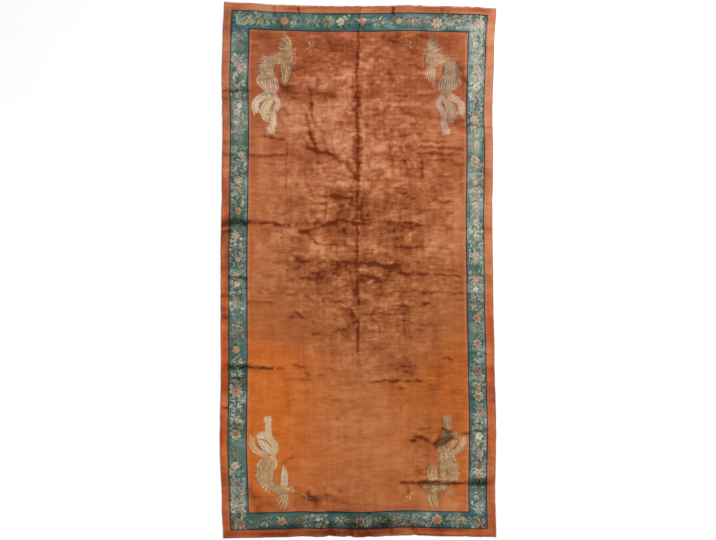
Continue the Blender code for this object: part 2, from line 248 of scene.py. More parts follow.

# Broad changes of tone over the border and the ends, deeper (+) or paler (-), in the same columns.
# They are partly painted light and shade, paler down the right side, which faces the light, and deeper
# along the near end, and partly broad changes in the pile's own tone.
BROAD_SHADING_AND_TONES = (
    (-148, 10, 8, 90, 0.2), (-148, -200, 8, 110, 0.12), (-140, 230, 12, 60, 0.1), (0, -289, 170, 9, 0.55),
    (-90, -296, 90, 8, 0.35), (150, 210, 7, 110, -0.66), (132, 120, 9, 60, -0.16),
    (132, 230, 9, 70, -0.36), (132, 70, 9, 70, -0.16), (148, 20, 8, 60, -0.34), (-148, 40, 7, 50, -0.1),
    (0, 297, 160, 4, 0.16), (-110, 296, 34, 5, -0.12), (-36, 296, 34, 4, 0.32), (60, 288, 70, 8, 0.18),
    (-40, 274, 60, 6, 0.1), (96, -120, 34, 60, 0.22), (60, 256, 70, 20, 0.14), (-60, 256, 50, 20, 0.1),
    (-133, 12, 14, 26, 0.4), (-133, -110, 14, 30, 0.35), (0, -276, 150, 12, 0.52), (100, 4, 16, 40, -0.22),
    (102, 130, 16, 40, -0.1), (78, -205, 22, 34, 0.16), (-110, 135, 13, 34, -0.2),
    (-102, 80, 16, 30, -0.08), (90, -276, 40, 12, -0.1), (-120, 270, 26, 26, -0.1),
    (90, 276, 50, 12, -0.15),
)

# Where the pile is ruffled and its fold marks branch, in the same columns
RUFFLED_PATCHES = (
    (0, 120, 60, 130, 0.95), (-30, 20, 60, 60, 0.85), (30, 0, 80, 60, 0.8), (60, 180, 60, 90, 0.4),
    (-70, 180, 50, 70, 0.45), (20, -60, 50, 60, 0.55), (80, 90, 50, 70, 0.55), (0, 246, 120, 44, 0.55),
    (40, -115, 60, 20, 0.3), (90, -215, 44, 44, 0.45), (-30, -252, 40, 16, 0.45), (-60, 60, 60, 50, 0.3),
)

# Dye colours, as they look in daylight
DYES = {
    "cream": (206, 190, 160),
    "ivory": (212, 208, 190),
    "peach": (212, 150, 112),
    "orange": (204, 120, 74),
    "rose": (182, 94, 76),
    "coral": (206, 100, 62),
    "pink": (206, 160, 142),
    "lilac": (162, 150, 156),
    "tan": (180, 144, 104),
    "sage": (128, 140, 112),
    "leaf": (102, 120, 84),
    "olive": (112, 108, 66),
    "aqua": (130, 158, 144),
    "navy": (26, 42, 52),
    "khaki": (160, 132, 94),
    "straw": (196, 168, 122),
    "grey": (142, 128, 104),
    "gold": (208, 156, 98),
    "umber": (108, 80, 50),
    "skin": (182, 126, 94),
    "fawn": (196, 162, 138),
    "ash": (158, 134, 112),
}


def linear(red, green, blue):
    """A daylight colour of 0 to 255 as Blender's linear colour."""
    def channel(value):
        value /= 255
        return value / 12.92 if value <= 0.04045 else ((value + 0.055) / 1.055) ** 2.4
    return channel(red), channel(green), channel(blue)


# The carpet's surface

def smooth(share):
    """An even start and stop between 0 and 1."""
    share = np.clip(share, 0, 1)
    return share * share * (3 - 2 * share)


def along_table(table, share):
    """The smooth value of an edge's table at each share of the way along it."""
    places = np.array([row[0] for row in table])
    values = np.array([row[1] for row in table])
    after = np.clip(np.searchsorted(places, share), 1, len(places) - 1)
    step = (share - places[after - 1]) / (places[after] - places[after - 1])
    return values[after - 1] + (values[after] - values[after - 1]) * smooth(step)


# How far each side's bands were knotted outwards of their even places.
# (metres from the edge, metres outwards)
LEFT_BANDS = ((0.0, 0.0), (0.09, 0.008), (0.29, 0.005), (0.60, 0.0))
RIGHT_BANDS = ((0.0, 0.0), (0.09, 0.001), (0.29, 0.006), (0.60, 0.0))
NEAR_BANDS = ((0.0, 0.0), (0.09, 0.004), (0.29, 0.024), (0.70, 0.0))
FAR_BANDS = ((0.0, 0.0), (0.09, 0.009), (0.29, 0.014), (0.70, 0.0))


def outwards(bands, distance):
    """How far outwards a side's bands lie at a distance from its edge."""
    return np.interp(distance, [row[0] for row in bands], [row[1] for row in bands])


def loom_to_floor(x, y, inset=0.0):
    """Moves points of the true rectangle to where the uneven outline puts them."""
    x = x + outwards(RIGHT_BANDS, HALF_WIDTH - x) - outwards(LEFT_BANDS, HALF_WIDTH + x)
    y = y + outwards(FAR_BANDS, HALF_LENGTH - y) - outwards(NEAR_BANDS, HALF_LENGTH + y)
    across = (x + HALF_WIDTH) / CARPET_WIDTH
    along = (y + HALF_LENGTH) / CARPET_LENGTH
    left = -HALF_WIDTH - along_table(LEFT_EDGE, along) + inset
    right = HALF_WIDTH + along_table(RIGHT_EDGE, along) - inset
    bottom = -HALF_LENGTH - along_table(BOTTOM_EDGE, across) + inset
    top = HALF_LENGTH + along_table(TOP_EDGE, across) - inset
    return left + (right - left) * across, bottom + (top - bottom) * along


def three_point(left, middle, right, centred):
    """The curve through a crease's values at the left edge, the middle and the right edge."""
    bend = left + right - 2 * middle
    return middle + (right - left) * centred / 2 + bend * centred * centred / 2


GRID_X, GRID_Y = np.meshgrid(
    np.linspace(-HALF_WIDTH, HALF_WIDTH, COLUMNS + 1),
    np.linspace(-HALF_LENGTH, HALF_LENGTH, ROWS + 1),
)


def blend(values, x, y, ease=np.asarray):
    """A grid's values at places between its points. Ease bends the way from point to point."""
    column = x.astype(int)
    row = y.astype(int)
    x = ease(x - column)
    y = ease(y - row)
    low = values[row, column] * (1 - x) + values[row, column + 1] * x
    high = values[row + 1, column] * (1 - x) + values[row + 1, column + 1] * x
    return low * (1 - y) + high * y


def cloud(seed, across, along):
    """Soft random patches from 0 to 1 over the grid, with cells of the given sizes."""
    lattice = np.random.default_rng(seed).random(
        (int(CARPET_LENGTH / along) + 3, int(CARPET_WIDTH / across) + 3)
    )
    return blend(lattice, (GRID_X + HALF_WIDTH) / across, (GRID_Y + HALF_LENGTH) / along, smooth)


def veins(seed, across, along, sharpness):
    """Branching lines from 0 to 1, where a soft random surface crosses its middle."""
    surface = 0.7 * cloud(seed, across, along) + 0.3 * cloud(seed + 1, across / 2, along / 2)
    return np.clip(1 - np.abs(surface - 0.5) * sharpness, 0, 1)


# The marks waver by this many metres, and their edges are ragged, both by soft patches
WAVER = 0.022
BENT_X = GRID_X + WAVER * (cloud(11, 0.09, 0.09) + cloud(12, 0.04, 0.04) - 1)
BENT_Y = GRID_Y + WAVER * (cloud(13, 0.09, 0.09) + cloud(14, 0.04, 0.04) - 1)
RAGGED = 0.55 + 0.90 * cloud(15, 0.035, 0.035)


def paint_mark(field, start, end, half_width, amount):
    """Adds a soft stroke, which thins out at its ends, to a field over the grid."""
    start = np.array(start)
    run = np.array(end) - start
    length = max(1e-6, float(np.hypot(*run)))
    reach = 3 * half_width
    columns = np.clip(
        np.searchsorted(GRID_X[0], [min(start[0], end[0]) - reach, max(start[0], end[0]) + reach]),
        0, COLUMNS + 1,
    )
    rows = np.clip(
        np.searchsorted(GRID_Y[:, 0], [min(start[1], end[1]) - reach, max(start[1], end[1]) + reach]),
        0, ROWS + 1,
    )
    part = np.s_[rows[0]:rows[1], columns[0]:columns[1]]
    x = BENT_X[part] - start[0]
    y = BENT_Y[part] - start[1]
    along = (x * run[0] + y * run[1]) / length
    across = (x * run[1] - y * run[0]) / length
    beyond = np.maximum(0, np.abs(along - length / 2) - length / 2)
    taper = 1 - 0.5 * smooth(np.abs(along / length - 0.5) * 2)
    distance = (across / (half_width * (0.35 + 0.65 * taper))) ** 2 + (beyond / half_width) ** 2
    field[part] += amount * np.exp(-distance * RAGGED[part])


def patches(table):
    """The sum of a table's soft oval patches over the grid."""
    field = np.zeros_like(GRID_X)
    for *measures, amount in table:
        x, y, half_width, half_length = (value * CENTIMETRE for value in measures)
        distance = ((BENT_X - x) / half_width) ** 2 + ((BENT_Y - y) / half_length) ** 2
        field += amount * np.exp(-distance)
    return field


# Soft random patches and branching lines in how the pile lies, painted as light and shade.
# (seed, cell size across, cell size along, strength)
FIELD_MOTTLE = ((41, 0.16, 0.11, 0.50), (42, 0.06, 0.05, 0.45))
WHOLE_MOTTLE = ((44, 0.5, 0.16, 0.18), (45, 0.07, 0.40, 0.20))
BORDER_MOTTLE = ((46, 0.16, 0.11, 0.55), (49, 0.4, 0.035, 0.35))
# (seed, cell size across, cell size along, sharpness, strength)
RUFFLED_VEINS = ((31, 0.20, 0.09, 9, 0.50), (33, 0.08, 0.20, 9, 0.38), (35, 0.06, 0.05, 6, 0.30))
FIELD_VEINS = ((61, 0.55, 0.07, 9, 0.14), (63, 0.06, 0.60, 9, 0.10))

# Each dark mark is a core in a softer halo, with a painted highlight beside it, where the pile on the
# crease's other side faces the light.
# (share of the mark's half width, share of its darkness)
MARK_CORE = (0.95, 0.68)
MARK_HALO = (2.3, 0.30)
MARK_HIGHLIGHT = (0.8, -0.32)
HIGHLIGHT_PLACE = 2.4
HIGHLIGHT_GAP = 0.004

BRUSH_SEED = 21
BRUSH_MARKS = 2600
FLECK_SEED = 22
STRAY_FLECKS = 260


def mottle(table):
    """The sum of a table's soft random patches, dark and pale."""
    return sum(strength * (cloud(seed, across, along) - 0.5) for seed, across, along, strength in table)


def branches(table):
    """The sum of a table's branching lines."""
    return sum(strength * veins(*row) for *row, strength in table)


def brush_marks(ruffled):
    """Short strokes of painted shade and highlight at many angles, where the pile lies this way and that,
    mostly where it is ruffled.
    """
    rng = np.random.default_rng(BRUSH_SEED)
    field = np.zeros_like(GRID_X)
    for _ in range(BRUSH_MARKS):
        x = rng.uniform(-HALF_WIDTH + FIELD_STARTS, HALF_WIDTH - FIELD_STARTS)
        y = rng.uniform(-HALF_LENGTH + FIELD_STARTS, HALF_LENGTH - FIELD_STARTS)
        column = int((x + HALF_WIDTH) / CARPET_WIDTH * COLUMNS)
        row = int((y + HALF_LENGTH) / CARPET_LENGTH * ROWS)
        strength = min(1.0, ruffled[row, column])
        if rng.random() > 0.12 + strength:
            continue
        angle = rng.choice((0.0, 0.0, math.pi / 2, rng.uniform(0, math.pi)))
        angle += rng.normal(0, 0.14)
        length = rng.uniform(0.025, 0.12) * (1 + 0.6 * (angle < 0.5))
        step = (length * math.cos(angle) / 2, length * math.sin(angle) / 2)
        amount = rng.normal(0.02, 0.26) * (0.35 + 0.65 * strength)
        paint_mark(field, (x - step[0], y - step[1]), (x + step[0], y + step[1]),
                   rng.uniform(0.007, 0.015), amount)
    return field


def scatter_flecks(field, rng, start, end, half_width, amount):
    """Small dark flecks scattered beside a mark. Places in centimetres."""
    start = np.array(start)
    run = np.array(end) - start
    for _ in range(int(2 + np.hypot(*run) / 4)):
        place = start + run * rng.random() + rng.normal(0, half_width + 1.2, 2)
        place *= CENTIMETRE
        reach = rng.uniform(0.002, 0.012)
        paint_mark(field, place, place + (reach, rng.normal(0, 0.003)), rng.uniform(0.007, 0.011),
                   amount * rng.uniform(0.1, 0.6))


def stray_flecks(field, rng):
    """Small dark flecks all over the field, most of them in the middle."""
    for _ in range(STRAY_FLECKS):
        x = rng.normal(0, 0.62)
        y = rng.uniform(-2.6, 2.4)
        if abs(x) < HALF_WIDTH - FIELD_STARTS - 0.05:
            reach = rng.uniform(0.0, 0.022)
            paint_mark(field, (x, y), (x + reach, y), rng.uniform(0.006, 0.010), rng.uniform(0.06, 0.42))


def dark_marks():
    """Every dark mark and the flecks about it, over the grid."""
    field = np.zeros_like(GRID_X)
    rng = np.random.default_rng(FLECK_SEED)
    for *ends, half_width, amount in DARK_MARKS + BORDER_MARKS:
        start = np.array(ends[:2]) * CENTIMETRE
        end = np.array(ends[2:]) * CENTIMETRE
        radius = half_width * CENTIMETRE
        highlight_offset = HIGHLIGHT_PLACE * radius + HIGHLIGHT_GAP
        runs_across = abs(ends[2] - ends[0]) > abs(ends[3] - ends[1])
        highlight_offset = np.array((0, highlight_offset) if runs_across else (highlight_offset, 0))
        # The core and halo are the dark mark, partly painted crease shade; the offset stroke beside it is a
        # painted highlight.
        for beside, (width, darkness) in ((0, MARK_CORE), (0, MARK_HALO), (highlight_offset, MARK_HIGHLIGHT)):
            paint_mark(field, start + beside, end + beside, width * radius, darkness * amount)
        scatter_flecks(field, rng, ends[:2], ends[2:], half_width, amount)
    stray_flecks(field, rng)
    return field * (0.70 + 0.40 * cloud(39, 0.03, 0.12) + 0.40 * cloud(40, 0.12, 0.03))


def crease_heights():
    """The soft troughs and ridges of the creases, in metres, over the grid."""
    height = np.zeros_like(GRID_X)
    centred = GRID_X / HALF_WIDTH
    for left, middle, right, half_width, *rises in CROSS_CREASES:
        distance = np.abs(BENT_Y - three_point(left, middle, right, centred)) / (half_width * 1.3)
        height += three_point(*rises, centred) * (1 - smooth(distance))
    for x, half_width, lowest, highest, depth in LONG_FOLDS:
        fade = smooth((GRID_Y - lowest) / FOLD_FADE) * smooth((highest - GRID_Y) / FOLD_FADE)
        height += depth * fade * (1 - smooth(np.abs(BENT_X - x) / (half_width * 1.3)))
    return height


def painted_surface():
    """Every field that the pile's look and height need, by name, over the grid."""
    ruffled = np.clip(patches(RUFFLED_PATCHES), 0, 1.2)
    dark = dark_marks()
    heights = crease_heights()
    from_side = HALF_WIDTH - np.abs(GRID_X)
    from_end = HALF_LENGTH - np.abs(GRID_Y)
    inside = np.minimum(from_side, from_end)
    in_field = smooth((inside - TEAL_ENDS) / 0.02)
    ruffles = branches(RUFFLED_VEINS) * 0.62 - 0.10 + mottle(FIELD_MOTTLE)
    # Dark marks, less the painted highlights where the pile catches the light, then the painted light and
    # shade of the ruffled and brushed pile in the field.
    lean_shading = dark - patches(PAINTED_SHEEN_PATCHES) * (0.65 + 0.7 * cloud(43, 0.05, 0.04))
    lean_shading += in_field * (ruffled * ruffles + brush_marks(ruffled) + branches(FIELD_VEINS) - 0.06)
    # Painted shade in the low parts of the creases, with the broad painted light and shade over the border
    # and ends.
    lean_shading += mottle(WHOLE_MOTTLE) + patches(BROAD_SHADING_AND_TONES) + np.clip(-heights / 0.0035, 0, 1) * 0.16
    # The streaks and hues of the border run along whichever side they are on
    by_side = from_side < from_end
    streaks = np.where(by_side, cloud(53, 0.03, 0.26), cloud(54, 0.26, 0.03)) - 0.5
    hues = np.where(by_side, cloud(56, 0.03, 0.18), cloud(57, 0.18, 0.03)) - 0.35
    lean_shading += (1 - in_field) * (mottle(BORDER_MOTTLE) + streaks * 0.42)
    warmth = patches(DYE_PATCHES) + (cloud(47, 0.7, 0.22) - 0.5) * 0.35
    warmth += (inside < OUTER_BAND + GUARD_LINE) * hues * 1.6
    return {
        "lean_shading": np.clip(lean_shading, -1.0, 1.3),
        "warmth": np.clip(warmth, -1, 1.3),
        "blueness": blue_share(),
        "ruffled": np.clip(ruffled, 0, 1),
        "height": heights + (cloud(48, 0.05, 0.05) - 0.5) * 0.0006 - np.clip(dark, 0, 1) * 0.0006,
    }


def blue_share():
    """How blue the border's teal is: most at the far end and the near end, least along the sides."""
    far_left = np.exp(-((GRID_X + 1.45) / 0.35) ** 2 - ((GRID_Y - 2.75) / 0.42) ** 2) * 0.85
    far = smooth((GRID_Y - 2.45) / 0.3) * 0.55
    near = smooth((-2.30 - GRID_Y) / 0.3) * 0.48
    right_side = smooth((GRID_X - 1.2) / 0.1) * 0.30
    stripes = (cloud(51, 3.0, 0.12) - 0.5) * 0.35 + (cloud(52, 3.0, 0.35) - 0.5) * 0.40
    return np.clip(far_left + far + near + right_side + stripes, 0, 1.1)


SURFACE = painted_surface()
FLOOR_X, FLOOR_Y = loom_to_floor(GRID_X, GRID_Y)
MIDDLE = (-(FLOOR_X.min() + FLOOR_X.max()) / 2, -(FLOOR_Y.min() + FLOOR_Y.max()) / 2)


def sample(field, x, y):
    """A field's value at loom places, between the grid's points."""
    column = np.clip((x + HALF_WIDTH) / CARPET_WIDTH * COLUMNS, 0, COLUMNS - 1e-6)
    row = np.clip((y + HALF_LENGTH) / CARPET_LENGTH * ROWS, 0, ROWS - 1e-6)
    return blend(field, column, row)


# Modelling helpers

def deselect():
    """Leaves nothing selected or active."""
    for item in bpy.context.view_layer.objects:
        item.select_set(False)
    bpy.context.view_layer.objects.active = None


def attribute(mesh, name, kind, values):
    """Stores one value for each point of a mesh."""
    layer = mesh.attributes.new(name, kind, "POINT")
    key = {"FLOAT": "value", "FLOAT_VECTOR": "vector", "FLOAT_COLOR": "color"}[kind]
    layer.data.foreach_set(key, np.ascontiguousarray(values, dtype=np.float32).ravel())


# The carpet itself. Each level of the rim is (inset, height), from the pile's shoulder to the back:
# overcast sides, and ends where a thin woven web comes out from under the pile.
SIDE_RIM = ((0.0090, 0.0100), (0.0055, 0.0086), (0.0010, 0.0068), (0.0000, 0.0040), (0.0030, 0.0000))
FAR_END_RIM = ((0.0150, 0.0100), (0.0135, 0.0045), (0.0010, 0.0036), (0.0000, 0.0016), (0.0020, 0.0000))
NEAR_END_RIM = ((0.0100, 0.0100), (0.0085, 0.0045), (0.0010, 0.0036), (0.0000, 0.0016), (0.0020, 0.0000))
PILE, WEB, OVERCAST, BACK = range(4)

# Where each part of the carpet lies on its own UV map, as (left, width) of the map
UV_FACE = (0.012, 0.60)
UV_BACK = (0.645, 0.34)
UV_MARGIN = 0.012
UV_RIM_STEP = 0.0022


def carpet_cage():
    """A grid with its rim carried down four times and closed by a flat back."""
    deselect()
    bpy.ops.mesh.primitive_grid_add(x_subdivisions=COLUMNS, y_subdivisions=ROWS, size=1)
    carpet = bpy.context.object
    carpet.name = carpet.data.name = "knotted_carpet"
    bpy.ops.object.mode_set(mode="EDIT")
    bpy.ops.mesh.select_mode(type="EDGE")
    bpy.ops.mesh.select_all(action="DESELECT")
    bpy.ops.mesh.select_non_manifold(extend=False, use_wire=False, use_multi_face=False,
                                     use_non_contiguous=False, use_verts=False)
    for _ in range(len(SIDE_RIM) - 1):
        bpy.ops.mesh.extrude_edges_move(TRANSFORM_OT_translate={"value": (0, 0, -1)})
    bpy.ops.mesh.edge_face_add()
    bpy.ops.mesh.select_all(action="SELECT")
    bpy.ops.mesh.normals_make_consistent(inside=False)
    bpy.ops.object.mode_set(mode="OBJECT")
    return carpet


def make_carpet():
    """The carpet's one sheet: pile face, finished edges and woven back."""
    carpet = carpet_cage()
    mesh = carpet.data
    places = np.empty(len(mesh.vertices) * 3)
    mesh.vertices.foreach_get("co", places)
    places = places.reshape(-1, 3)
    column = np.rint((places[:, 0] + 0.5) * COLUMNS).astype(int)
    row = np.rint((places[:, 1] + 0.5) * ROWS).astype(int)
    level = np.rint(-places[:, 2]).astype(int)
    on_side = (column == 0) | (column == COLUMNS)
    on_end = (row == 0) | (row == ROWS)
    rims = np.array([SIDE_RIM, FAR_END_RIM, NEAR_END_RIM])
    which = np.where(on_side, 0, np.where(row == ROWS, 1, 2))
    inset = rims[which, level, 0]
    height = np.where(level == 0, CARPET_THICKNESS + SURFACE["height"][row, column], rims[which, level, 1])
    edge = on_side | on_end
    height = np.where(edge & (level == 0), rims[which, 0, 1], height)
    loom_x = GRID_X[row, column]
    loom_y = GRID_Y[row, column]
    ragged = np.where(edge, edge_raggedness(loom_x, loom_y, on_side), 0.0)
    x, y = loom_to_floor(loom_x, loom_y, inset + ragged)
    places = np.stack((x + MIDDLE[0], y + MIDDLE[1], height), axis=1)
    mesh.vertices.foreach_set("co", places.ravel())
    attribute(mesh, "loom", "FLOAT_VECTOR", np.stack((loom_x, loom_y, level.astype(float)), axis=1))
    for name in ("lean_shading", "warmth", "blueness", "ruffled"):
        attribute(mesh, name, "FLOAT", SURFACE[name][row, column])
    sort_faces(mesh, level, on_side)
    lay_uv(mesh, loom_x, loom_y, level, column, row)
    mesh.update()
    deselect()
    carpet.select_set(True)
    bpy.context.view_layer.objects.active = carpet
    bpy.ops.object.shade_smooth_by_angle(angle=math.radians(50))
    return carpet


# How unevenly the rim is finished. (number of steps, metres a step, metres of wear)
RIM_SEED = 61
RIM_WEAR = ((200, 0.14, 0.0016), (800, 0.035, 0.0009))
END_RUN_STARTS = 20
# Where the near end is drawn in between its tufts. (x, metres drawn in)
SCALLOPS = ((-0.34, 0.008), (-0.12, 0.009), (0.10, 0.006), (0.62, 0.007), (1.18, 0.005))
SCALLOP_HALF_WIDTH = 0.035


def edge_raggedness(x, y, on_side):
    """How far each point of the rim is drawn in, in metres, by wear and uneven finishing."""
    rng = np.random.default_rng(RIM_SEED)
    run = np.where(on_side, y + HALF_LENGTH, x + HALF_WIDTH + END_RUN_STARTS)
    wear = np.zeros_like(x)
    for count, step, size in RIM_WEAR:
        wear += np.interp(run, np.arange(count) * step, rng.normal(0, size, count))
    scallops = np.zeros_like(x)
    for place, depth in SCALLOPS:
        scallops += depth * np.exp(-((x - place) / SCALLOP_HALF_WIDTH) ** 2)
    return np.abs(wear) + np.where((y < 0) & ~on_side, scallops, 0)


def sort_faces(mesh, level, on_side):
    """Gives each face its material: pile, end web, overcast side or back."""
    kinds = []
    for face in mesh.polygons:
        levels = [level[index] for index in face.vertices]
        if len(face.vertices) > 4:
            kinds.append(BACK)
        elif max(levels) < 2:
            kinds.append(PILE)
        else:
            kinds.append(OVERCAST if all(on_side[index] for index in face.vertices) else WEB)
    mesh.polygons.foreach_set("material_index", kinds)


def lay_uv(mesh, x, y, level, column, row):
    """The carpet's own UV map: the face and its rim, and the back beside them."""
    u = (x + HALF_WIDTH) / CARPET_WIDTH
    v = (y + HALF_LENGTH) / CARPET_LENGTH
    rise = level * UV_RIM_STEP
    out_u = np.where(column == 0, -rise, np.where(column == COLUMNS, rise, 0))
    out_v = np.where(row == 0, -rise, np.where(row == ROWS, rise, 0))
    corner_vertex = np.empty(len(mesh.loops), dtype=int)
    mesh.loops.foreach_get("vertex_index", corner_vertex)
    kind = np.empty(len(mesh.polygons), dtype=int)
    sizes = np.empty(len(mesh.polygons), dtype=int)
    mesh.polygons.foreach_get("material_index", kind)
    mesh.polygons.foreach_get("loop_total", sizes)
    on_back = np.repeat(kind == BACK, sizes)
    face_u = UV_FACE[0] + UV_FACE[1] * u + out_u
    face_v = UV_MARGIN + (1 - 2 * UV_MARGIN) * v + out_v
    back_u = UV_BACK[0] + UV_BACK[1] * u
    back_v = UV_MARGIN + (1 - 2 * UV_MARGIN) * v
    places = np.stack((
        np.where(on_back, back_u[corner_vertex], face_u[corner_vertex]),
        np.where(on_back, back_v[corner_vertex], face_v[corner_vertex]),
    ), axis=1)
    for layer in list(mesh.uv_layers):
        mesh.uv_layers.remove(layer)
    mesh.uv_layers.new(name="OFBake").uv.foreach_set("vector", places.astype(np.float32).ravel())


# Knotted motifs. A stamp is a small closed form, modelled once along +X from 0 to 1, a side of 1 in Y and
# a crown of 1 in Z. Each motif is a set of strokes, and a stroke is a stamp bent along its own curve.
# In metres: how high a stroke's crown is, what each layer adds, and the half width under which it is lower
CROWN = 0.0009
LAYER_RISE = 0.0003
NARROW = 0.006
# How far a stamp's sides reach down, and what its points are drawn together to, both for a crown of 1
BURIED = -0.35
POINT_WIDTH = 0.02
# How much of the ground's colour shows at the rims of low strokes and of high ones
HIGH_LAYER = 3
LOW_RIM_FADE = 0.16
HIGH_RIM_FADE = 0.06

# Half widths at even steps along each stamp. A 0 is a point.
STAMP_OUTLINES = {
    "leaf": (0.0, 0.62, 1.0, 0.90, 0.52, 0.0),
    "petal": (0.30, 0.72, 1.0, 0.98, 0.66, 0.0),
    "bud": (0.0, 0.80, 1.0, 0.94, 0.62, 0.0),
    "stem": (0.85, 1.0, 0.9, 1.0, 0.9, 0.7),
    "feather": (0.35, 0.62, 0.80, 0.92, 1.0, 1.0, 0.96, 0.88, 0.72, 0.46, 0.0),
    "plume": (0.50, 0.68, 0.84, 0.95, 1.0, 1.0, 1.0, 1.0, 0.96, 0.84, 0.0),
    "mass": (0.30, 0.62, 0.84, 0.96, 1.0, 1.0, 0.94, 0.82, 0.62, 0.34),
    "quill": (1.0, 0.95, 0.9, 0.85, 0.8, 0.7, 0.6, 0.5, 0.4, 0.3, 0.0),
}


def start_stamp(name, sides):
    """The flat outline that a stamp is extruded from."""
    deselect()
    bpy.ops.mesh.primitive_circle_add(vertices=sides, radius=1, fill_type="NGON")
    stamp = bpy.context.object
    stamp.name = stamp.data.name = "stamp_" + name
    return stamp


def take_stamp(stamp):
    """The stamp's points and faces, and which faces are on top. The stamp itself is removed."""
    bpy.ops.mesh.select_all(action="SELECT")
    bpy.ops.mesh.normals_make_consistent(inside=False)
    bpy.ops.object.mode_set(mode="OBJECT")
    mesh = stamp.data
    points = np.array([vertex.co[:] for vertex in mesh.vertices])
    faces = [tuple(face.vertices) for face in mesh.polygons]
    on_top = [face.normal.z > 0.1 for face in mesh.polygons]
    bpy.data.objects.remove(stamp)
    bpy.data.meshes.remove(mesh)
    return points, faces, on_top


def model_stamp(name):
    """One stamp: a three-sided bar, extruded step by step and drawn to its outline."""
    first, *widths = (max(width, POINT_WIDTH) for width in STAMP_OUTLINES[name])
    stamp = start_stamp(name, 3)
    for vertex, place in zip(stamp.data.vertices, ((0, 1), (1, BURIED), (-1, BURIED))):
        vertex.co = (0, place[0] * first, place[1])
    bpy.ops.object.mode_set(mode="EDIT")
    bpy.ops.mesh.select_all(action="SELECT")
    before = first
    for width in widths:
        bpy.ops.mesh.extrude_region_move(TRANSFORM_OT_translate={"value": (1 / len(widths), 0, 0)})
        bpy.ops.transform.resize(value=(1, width / before, 1))
        before = width
    return take_stamp(stamp)


def model_dot(name, sides, rings):
    """A low round boss of unit radius, drawn up to its crown ring by ring, for berries and eyes."""
    stamp = start_stamp(name, sides)
    bpy.ops.object.mode_set(mode="EDIT")
    bpy.ops.mesh.select_all(action="SELECT")
    bpy.ops.transform.translate(value=(0, 0, BURIED))
    before = 0.0
    for ring in range(1, rings + 1):
        angle = ring / (rings + 0.6) * math.pi / 2
        rise = (1 - BURIED) * (math.sin(angle) - math.sin(before))
        bpy.ops.mesh.extrude_region_move(TRANSFORM_OT_translate={"value": (0, 0, rise)})
        bpy.ops.transform.resize(value=(math.cos(angle) / math.cos(before),) * 2 + (1,))
        before = angle
    return take_stamp(stamp)


STAMPS = {name: model_stamp(name) for name in STAMP_OUTLINES}
STAMPS["dot"] = model_dot("dot", 6, 2)
STAMPS["boss"] = model_dot("boss", 12, 3)


def bowed(start, end, bow):
    """A path from start to end whose middle bends to its left by a share of its length."""
    run = (end[0] - start[0], end[1] - start[1])
    return start, ((start[0] + end[0]) / 2 - run[1] * bow, (start[1] + end[1]) / 2 + run[0] * bow), end


def follow(path, share):
    """Points and directions at each share of the way along a smooth curve through a path's points."""
    path = np.array(path, dtype=float)
    path = np.concatenate((2 * path[:1] - path[1:2], path, 2 * path[-1:] - path[-2:-1]))
    place = np.clip(share, 0, 1) * (len(path) - 3)
    first = np.clip(place.astype(int), 0, len(path) - 4)
    t = (place - first)[:, None]
    p0, p1, p2, p3 = (path[first + step] for step in range(4))
    cubic = 3 * p1 - 3 * p2 + p3 - p0
    square = 2 * p0 - 5 * p1 + 4 * p2 - p3
    points = p1 + t / 2 * (p2 - p0 + t * (square + t * cubic))
    ahead = p2 - p0 + t * (2 * square + 3 * t * cubic)
    ahead /= np.maximum(1e-9, np.hypot(ahead[:, 0], ahead[:, 1]))[:, None]
    return points, ahead


# Where the motifs' dyes have worn more towards the ground's, and the grounds' daylight colours
WEAR = cloud(71, 0.05, 0.05)
RUST_GROUND = (164, 92, 54)
TEAL_GROUND = (70, 100, 92)


